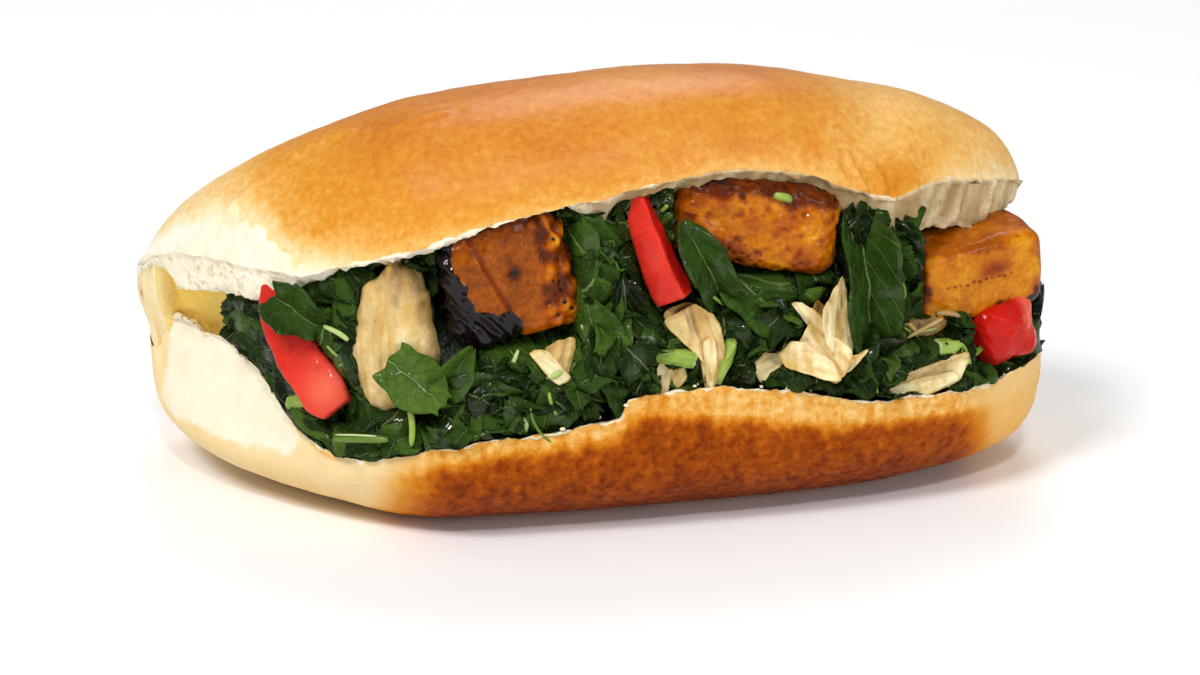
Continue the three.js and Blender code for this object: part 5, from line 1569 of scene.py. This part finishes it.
def scattered_leaves():
    """The heap's front leaves, drawn as the solids draw them: five rows of seventeen, less those in the way."""
    columns, rows = 17, 5
    i, j = (n.ravel() for n in np.meshgrid(np.arange(columns), np.arange(rows), indexing="ij"))
    seed = 10 * (i * rows + j) + 3
    x = lerp(-63, 76, (i + 0.5 + 0.5 * (draw(seed) - 0.5)) / columns)
    share = (j + 0.5 + 0.7 * (draw(seed + 1) - 0.5)) / rows
    at = mouth(x, lerp(0.06, 0.92, share) * heap_fill(x), lerp(0.8, 2.6, draw(seed + 2)))
    turn = np.stack([lerp(-35, 15, draw(seed + 3)), lerp(0, 180, draw(seed + 4)), lerp(-25, 25, draw(seed + 5))], -1)
    keep = ~hidden_spots(at, 1)
    pick = seed[keep]
    return sheets(14, 10, at[keep], turn[keep], lerp(9, 16, draw(pick + 6)), lerp(6.5, 10, draw(pick + 7)),
                  lerp(-3, 0, draw(pick + 8)), lerp(0.5, 1.3, draw(pick + 9)), pick, lerp(0.4, 1.8, draw(pick + 11)),
                  draw(pick + 12), 0.4, lerp(0.15, 0.80, draw(pick + 13) ** 1.3))


def end_leaves():
    """Leaves on the heap's two ends, drawn as the solids draw them."""
    at, turn, seeds = [], [], []
    for x, side, count, front, back in HEAP_ENDS:
        for k in range(count):
            seed = 7000 + 100 * side + 10 * k
            at.append((x, lerp(front, back, (k + 0.5) / count), lerp(27, 33, draw(seed + 1))))
            turn.append((lerp(-20, 20, draw(seed + 2)), lerp(0, 180, draw(seed + 3)), side * lerp(75, 105, draw(seed + 4))))
            seeds.append(seed)
    seed = np.array(seeds)
    return sheets(14, 10, at, turn, lerp(11, 16, draw(seed + 5)), lerp(7, 10, draw(seed + 6)),
                  lerp(-2, 1, draw(seed + 7)), lerp(0.4, 1.2, draw(seed + 8)), seed, lerp(0.2, 1.4, draw(seed + 9)),
                  draw(seed + 11), 0.45, lerp(0.2, 0.6, draw(seed + 12)))


def chopped_leaves(count, seed, inset, size, tint, margin, low=0.02, high=0.96):
    """Small chopped pieces over the whole mouth, at all turns."""
    n = 40 * np.arange(count) + seed
    x = lerp(-66, 80, draw(n))
    fill = heap_fill(x) * (1 - 0.13 * smooth((x - 40) / 7))
    at = mouth(x, lerp(low, high, draw(n + 1)) * fill, lerp(*inset, draw(n + 2)))
    turn = np.stack([lerp(-60, 40, draw(n + 3)), lerp(0, 360, draw(n + 4)), lerp(-55, 55, draw(n + 5))], -1)
    keep = ~hidden_spots(at, margin)
    pick = n[keep]
    length = lerp(*size, draw(pick + 6))
    return sheets(9, 6, at[keep], turn[keep], length, length * lerp(0.45, 0.95, draw(pick + 7)),
                  lerp(-3.5, 1, draw(pick + 8)), lerp(0.4, 1.3, draw(pick + 9)), pick, lerp(0.4, 2.4, draw(pick + 11)),
                  draw(pick + 12), 0.35, lerp(*tint, draw(pick + 13) ** 1.5))


def fold_leaves(count, seed):
    """Chopped pieces where the heap meets the fold at the left end, close behind the lips."""
    n = 40 * np.arange(count) + seed
    x = lerp(-70.5, -57, draw(n))
    at = mouth(x, lerp(0.03, 0.95, draw(n + 1)), lerp(0.5, 5.0, draw(n + 2)) + 2.5 * smooth((-65 - x) / 4))
    turn = np.stack([lerp(-40, 40, draw(n + 3)), lerp(0, 360, draw(n + 4)), lerp(-75, 5, draw(n + 5))], -1)
    length = lerp(4.5, 9.5, draw(n + 6))
    return sheets(9, 6, at, turn, length, length * lerp(0.5, 0.9, draw(n + 7)), lerp(-3, 1, draw(n + 8)),
                  lerp(0.2, 0.8, draw(n + 9)), n, lerp(0.4, 2.2, draw(n + 11)), draw(n + 12), 0.35,
                  lerp(0.1, 0.8, draw(n + 13) ** 1.3))


def side_leaves(count, seed):
    """Chopped pieces over the heap's right end and its shoulder, which show from the open end."""
    n = 40 * np.arange(count) + seed
    y = lerp(-30, 22, draw(n))
    x = 78.5 - 0.006 * (y + 4) ** 2 + lerp(-6, 0.5, draw(n + 2))
    at = np.stack([x, y, lerp(24, 40, draw(n + 1))], -1)
    turn = np.stack([lerp(-60, 60, draw(n + 3)), lerp(0, 360, draw(n + 4)), lerp(60, 120, draw(n + 5))], -1)
    length = lerp(5, 11, draw(n + 6))
    return sheets(9, 6, at, turn, length, length * lerp(0.45, 0.95, draw(n + 7)), lerp(-2.5, 2, draw(n + 8)),
                  lerp(0.3, 1.1, draw(n + 9)), n, lerp(0.2, 2, draw(n + 11)), draw(n + 12), 0.4,
                  lerp(0.1, 0.6, draw(n + 13)))


def thin_stems(count, seed):
    """Thin stems and torn veins that lie across the leaves: small round sections on gentle arcs."""
    n = 30 * np.arange(count) + seed
    x = lerp(-62, 76, draw(n))
    at = mouth(x, lerp(0.05, 0.92, draw(n + 1)) * heap_fill(x), lerp(-0.6, 1.8, draw(n + 2)))
    keep = ~hidden_spots(at, 0)
    at, n = at[keep], n[keep]
    length = lerp(4, 11, draw(n + 3) ** 1.5)[:, None]
    arc = lerp(-1.2, 1.2, draw(n + 4))[:, None]
    way = np.radians(lerp(20, 160, draw(n + 5)))[:, None]
    dip = lerp(-0.3, 0.3, draw(n + 6))[:, None]
    s = np.linspace(-1, 1, STEM_STEPS)[None, :]
    run, sag = s * length / 2, arc * (1 - s * s)
    px = run * np.cos(way) - sag * np.sin(way)
    pz = run * np.sin(way) + sag * np.cos(way)
    middle = at[:, None] + np.stack([px, run * dip, pz], -1)
    return stems_along(middle, lerp(0.18, 0.42, draw(n + 7)), lerp(0.1, 0.75, draw(n + 8)))


STEM_STEPS = 11


def stems_along(middle, radius, tint):
    """Round stems along many paths at once: a circle of the radius round each path, thinner at its ends."""
    around = 7
    s = np.linspace(-1, 1, middle.shape[1])
    tangent = np.gradient(middle, axis=1)
    tangent /= np.linalg.norm(tangent, axis=-1, keepdims=True)
    side = np.cross(tangent, [0, 1, 0.2])
    side /= np.linalg.norm(side, axis=-1, keepdims=True)
    out = np.cross(tangent, side)
    size = np.asarray(radius)[:, None, None, None] * (0.6 + 0.4 * (1 - s ** 4))[None, :, None, None]
    angle = (2 * np.pi * np.arange(around) / around)[None, None, :, None]
    rings = middle[:, :, None] + size * (side[:, :, None] * np.cos(angle) + out[:, :, None] * np.sin(angle))
    return joined([lofted(ring, tint=np.full(ring.shape[:2], shade)) for ring, shade in zip(rings, tint)])


NAMED_STEMS = [
    # ends of the stem, its radius and how pale it is
    ((-57.6, -30.2, 20.4), (-48.6, -36.2, 21.6), 0.75, 0.22), ((-57.4, -30.8, 21.4), (-50.6, -35.6, 22.2), 0.22, 0.95),
    ((-45.0, -38.6, 28.0), (-44.6, -37.4, 20.6), 0.62, 0.66),
    ((-28.9, -39.4, 31.0), (-25.0, -38.6, 37.6), 0.45, 0.85),
    ((-13.4, -38.8, 41.6), (-11.6, -39.6, 36.4), 0.42, 0.78),
    ((-11.6, -39.6, 36.4), (-13.0, -39.8, 31.8), 0.42, 0.78),
    ((-20.4, -39.8, 31.8), (-17.0, -39.8, 33.8), 0.60, 0.82),
    ((9.6, -39.2, 45.6), (11.2, -38.4, 51.6), 0.38, 0.78),
    ((7.8, -38.6, 47.4), (13.0, -38.8, 43.6), 0.35, 0.60),
    ((-58.6, -28.6, 41.4), (-54.6, -31.0, 39.2), 0.50, 0.85),
    ((61.4, -31.8, 27.0), (67.4, -28.2, 28.6), 0.70, 0.45),
    ((51.0, -32.6, 33.6), (57.0, -31.8, 34.2), 0.32, 0.85),
    ((47.0, -33.0, 36.4), (53.0, -32.0, 32.8), 0.28, 0.70),
    ((-24.4, -39.4, 25.6), (-24.2, -39.8, 22.4), 0.60, 0.95),
    ((22.6, -37.6, 63.2), (25.8, -37.4, 62.2), 0.80, 0.60),
]


def named_stems():
    """The stems that stand out, one by one: straight between their ends with a little sag."""
    s = np.linspace(0, 1, STEM_STEPS)[None, :, None]
    start, end = (np.array([entry[k] for entry in NAMED_STEMS])[:, None] for k in (0, 1))
    sag = 0.5 * np.sin(np.pi * s) * np.array([0.6, -1, 0.4])
    middle = lerp(start, end, s) + sag
    return stems_along(middle, [entry[2] for entry in NAMED_STEMS], [entry[3] for entry in NAMED_STEMS])


FISH_SHREDS = [
    # ends of the shred, its radius and how brown it is
    ((-25.2, -39.0, 26.4), (-24.8, -38.6, 22.8), 0.75, 0.10), ((-22.6, -39.2, 24.8), (-21.8, -39.0, 22.8), 0.60, 0.05),
    ((48.6, -33.4, 37.0), (52.8, -32.8, 33.4), 0.45, 0.45), ((50.4, -33.6, 33.2), (57.6, -32.6, 36.2), 0.40, 0.35),
    ((56.2, -32.8, 37.4), (61.4, -31.4, 36.0), 0.50, 0.60), ((45.8, -35.0, 40.6), (49.2, -33.8, 37.2), 0.40, 0.55),
    ((16.8, -38.2, 34.4), (18.6, -38.4, 30.6), 0.45, 0.25),
    ((-9.6, -38.6, 33.0), (-6.0, -38.6, 31.4), 0.40, 0.40),
]


def fish_shreds():
    """Small shreds of fish lost among the leaves: round strands between their ends, a little bowed."""
    s = np.linspace(0, 1, STEM_STEPS)[None, :, None]
    start, end = (np.array([entry[k] for entry in FISH_SHREDS])[:, None] for k in (0, 1))
    middle = lerp(start, end, s) + 0.6 * np.sin(np.pi * s) * np.array([0.4, -0.6, 0.7])
    shape = stems_along(middle, [entry[2] for entry in FISH_SHREDS], [entry[3] for entry in FISH_SHREDS])
    shape["values"]["seam"] = 0 * shape["values"]["tint"]
    return shape


# ---- Crumbs -----------------------------------------------------------------------------------


def crumbs_shape(count, seed):
    """Loose crumbs along both lips: rounded lumps of a few faces, each lumpy in its own way and of its own size."""
    n = 20 * np.arange(count) + seed
    x = lerp(-55, 78, draw(n))
    on_lower = draw(n + 1) < 0.62
    lower = mouth(x, 0 * x + 0.012, lerp(-0.4, 3.0, draw(n + 2)))
    upper = mouth(x, 0 * x + 0.985, lerp(0.5, 3.0, draw(n + 2)))
    at = np.where(on_lower[:, None], lower, upper)
    radius = 0.16 + 0.34 * draw(n + 3) ** 3
    rows, around = 5, 8
    polar = np.linspace(0.16, 0.84, rows)[None, :, None] * np.pi
    angle = (2 * np.pi * np.arange(around) / around)[None, None, :]
    unit = np.stack(np.broadcast_arrays(np.sin(polar) * np.cos(angle), np.sin(polar) * np.sin(angle), np.cos(polar)), -1)
    lump = 1 + 0.35 * rough(unit * 3 + n[:, None, None, None] * 0.37, 1.6, 2, 171)
    rings = at[:, None, None] + unit * (radius[:, None, None] * lump)[..., None] * [1.2, 1, 0.8]
    ones = np.ones((rows, around))
    return joined([lofted(ring, crumb=ones, bake=0.2 * ones, mottled=0.2 * ones, open=0 * ones, warm=0.2 * ones)
                   for ring in rings])


# ---- Building ---------------------------------------------------------------------------------

bread = bread_material()
leaf = leaf_material()
# the heap's core is coloured near-black as painted shade deep in the heap
painted_shade_core = heap_shade_material()
green_stalk = stalk_material()
fried = plantain_material()
red = pepper_material()
fish = fish_material()

add_piece("lid_bread", lid_shape(), bread, ["bun"])
add_piece("lower_bread", lower_shape(), bread, ["bun"])
add_piece("hinge_bread", hinge_shape(), bread, ["bun"])
add_piece("left_wall_bread", left_wall_shape(), bread, ["bun"])
add_piece("loose_crumbs", crumbs_shape(36, 9001), bread, ["bun"])

for title, sizes in PLANTAIN.items():
    add_piece(title + "_chunk", block_shape(**sizes), fried, [title])
for title, sizes in PEPPER_STRIPS.items():
    add_piece(title + "_strip", pepper_strip(**sizes), red, [title])
add_piece("pepper_right_square",
          block_shape((6.8, 6.5, 6.4), (71.6, -23.8, 31.2), (0, -8, 20), power=3.6, seed=6,
                      finish=pepper_square_face), red, ["pepper_right"])
for title, sizes in SALTFISH_FLAKES.items():
    add_piece(title + "_flake", flake_shape(**sizes), fish, [title])
for number, (title, plates) in enumerate(SALTFISH_PLATES.items()):
    shapes = [plate_shape(*plate, 200 + 20 * number + 4 * k) for k, plate in enumerate(plates)]
    add_piece(title + "_plates", joined(shapes), fish, [title])
for number, (title, (path, width)) in enumerate(STALK.items()):
    add_piece(title + "_piece", stalk_shape(path, width, 181 + number), green_stalk, [title])

add_piece("heap_core", heap_core_shape(), painted_shade_core, ["callaloo"])
add_piece("heap_named_leaves", within_mouth(tucked(named_leaves(), OVERLAPPING), OVERLAPPING), leaf, ["callaloo"])
add_piece("heap_front_leaves", within_mouth(tucked(joined([scattered_leaves(), end_leaves()]))), leaf,
          ["callaloo"])
add_piece("heap_chopped_leaves", within_mouth(tucked(joined([
    # the largest pieces, set deepest in, take the darker tints: partly the leaves' own tone, partly painted shade of
    # the heap's depth
    chopped_leaves(330, 20001, (1.8, 5.0), (6, 13), (0.0, 0.50), 2),
    chopped_leaves(230, 50001, (-0.2, 2.6), (3.5, 8.5), (0.08, 0.9), 0.5),
    chopped_leaves(120, 64001, (0.2, 3.0), (4, 9), (0.1, 0.7), 0.5, low=0.02, high=0.28),
    side_leaves(90, 80001),
    fold_leaves(95, 86001),
]))), leaf, ["callaloo"])
add_piece("heap_stems", joined([tucked(thin_stems(80, 90001)), named_stems()]), green_stalk,
          ["callaloo"])
add_piece("heap_fish_shreds", fish_shreds(), fish, ["callaloo"])

# ---- Camera, light and floor ------------------------------------------------------------------

VIEW_AZIMUTH, VIEW_ELEVATION = math.radians(13), math.radians(17)
LENS_MM, SENSOR_MM = 85.0, 36.0
VIEW_DISTANCE = 553.4
AIM = np.array([-1, 0, 26.8])

way_back = np.array([
    -math.sin(VIEW_AZIMUTH) * math.cos(VIEW_ELEVATION),
    -math.cos(VIEW_AZIMUTH) * math.cos(VIEW_ELEVATION),
    math.sin(VIEW_ELEVATION),
])


def look_at(item, eye, target):
    """Puts a camera or light at the eye, its -Z towards the target."""
    from mathutils import Vector
    item.location = Vector(eye)
    item.rotation_euler = (Vector(target) - Vector(eye)).to_track_quat("-Z", "Y").to_euler()


camera = bpy.data.objects.new("camera", bpy.data.cameras.new("camera"))
bpy.context.scene.collection.objects.link(camera)
camera.data.lens = LENS_MM
camera.data.sensor_width = SENSOR_MM
camera.data.clip_start = 0.01
look_at(camera, place(AIM + VIEW_DISTANCE * way_back), place(AIM))
bpy.context.scene.camera = camera


def soft_box(name, eye, target, size, power, colour=(1, 1, 1)):
    """A square area light."""
    data = bpy.data.lights.new(name, "AREA")
    data.shape = "SQUARE"
    data.size = size
    data.energy = power
    data.color = colour
    light = bpy.data.objects.new(name, data)
    bpy.context.scene.collection.objects.link(light)
    look_at(light, eye, target)


soft_box("key", (-1.1, -0.9, 1.7), (0, 0, 0.03), 0.6, 26)
soft_box("top_back", (0.3, 1.1, 1.5), (0, 0, 0.04), 0.9, 10)
soft_box("front_fill", (1.0, -1.8, 0.7), (0, 0, 0.03), 0.8, 10)
soft_box("glint", (-0.2, -1.2, 1.3), (0, 0, 0.03), 0.14, 7)
world = bpy.data.worlds.new("studio")
world.use_nodes = True
world.node_tree.nodes["Background"].inputs["Color"].default_value = (1, 1, 1, 1)
world.node_tree.nodes["Background"].inputs["Strength"].default_value = 0.32
bpy.context.scene.world = world

floor_mesh = bpy.data.meshes.new("floor")
floor_mesh.from_pydata([(-4, -4, 0), (4, -4, 0), (4, 4, 0), (-4, 4, 0)], [], [(0, 1, 2, 3)])
floor = bpy.data.objects.new("floor", floor_mesh)
bpy.context.scene.collection.objects.link(floor)
floor_mesh.materials.append(floor_material())

bpy.context.scene.view_settings.view_transform = "Standard"
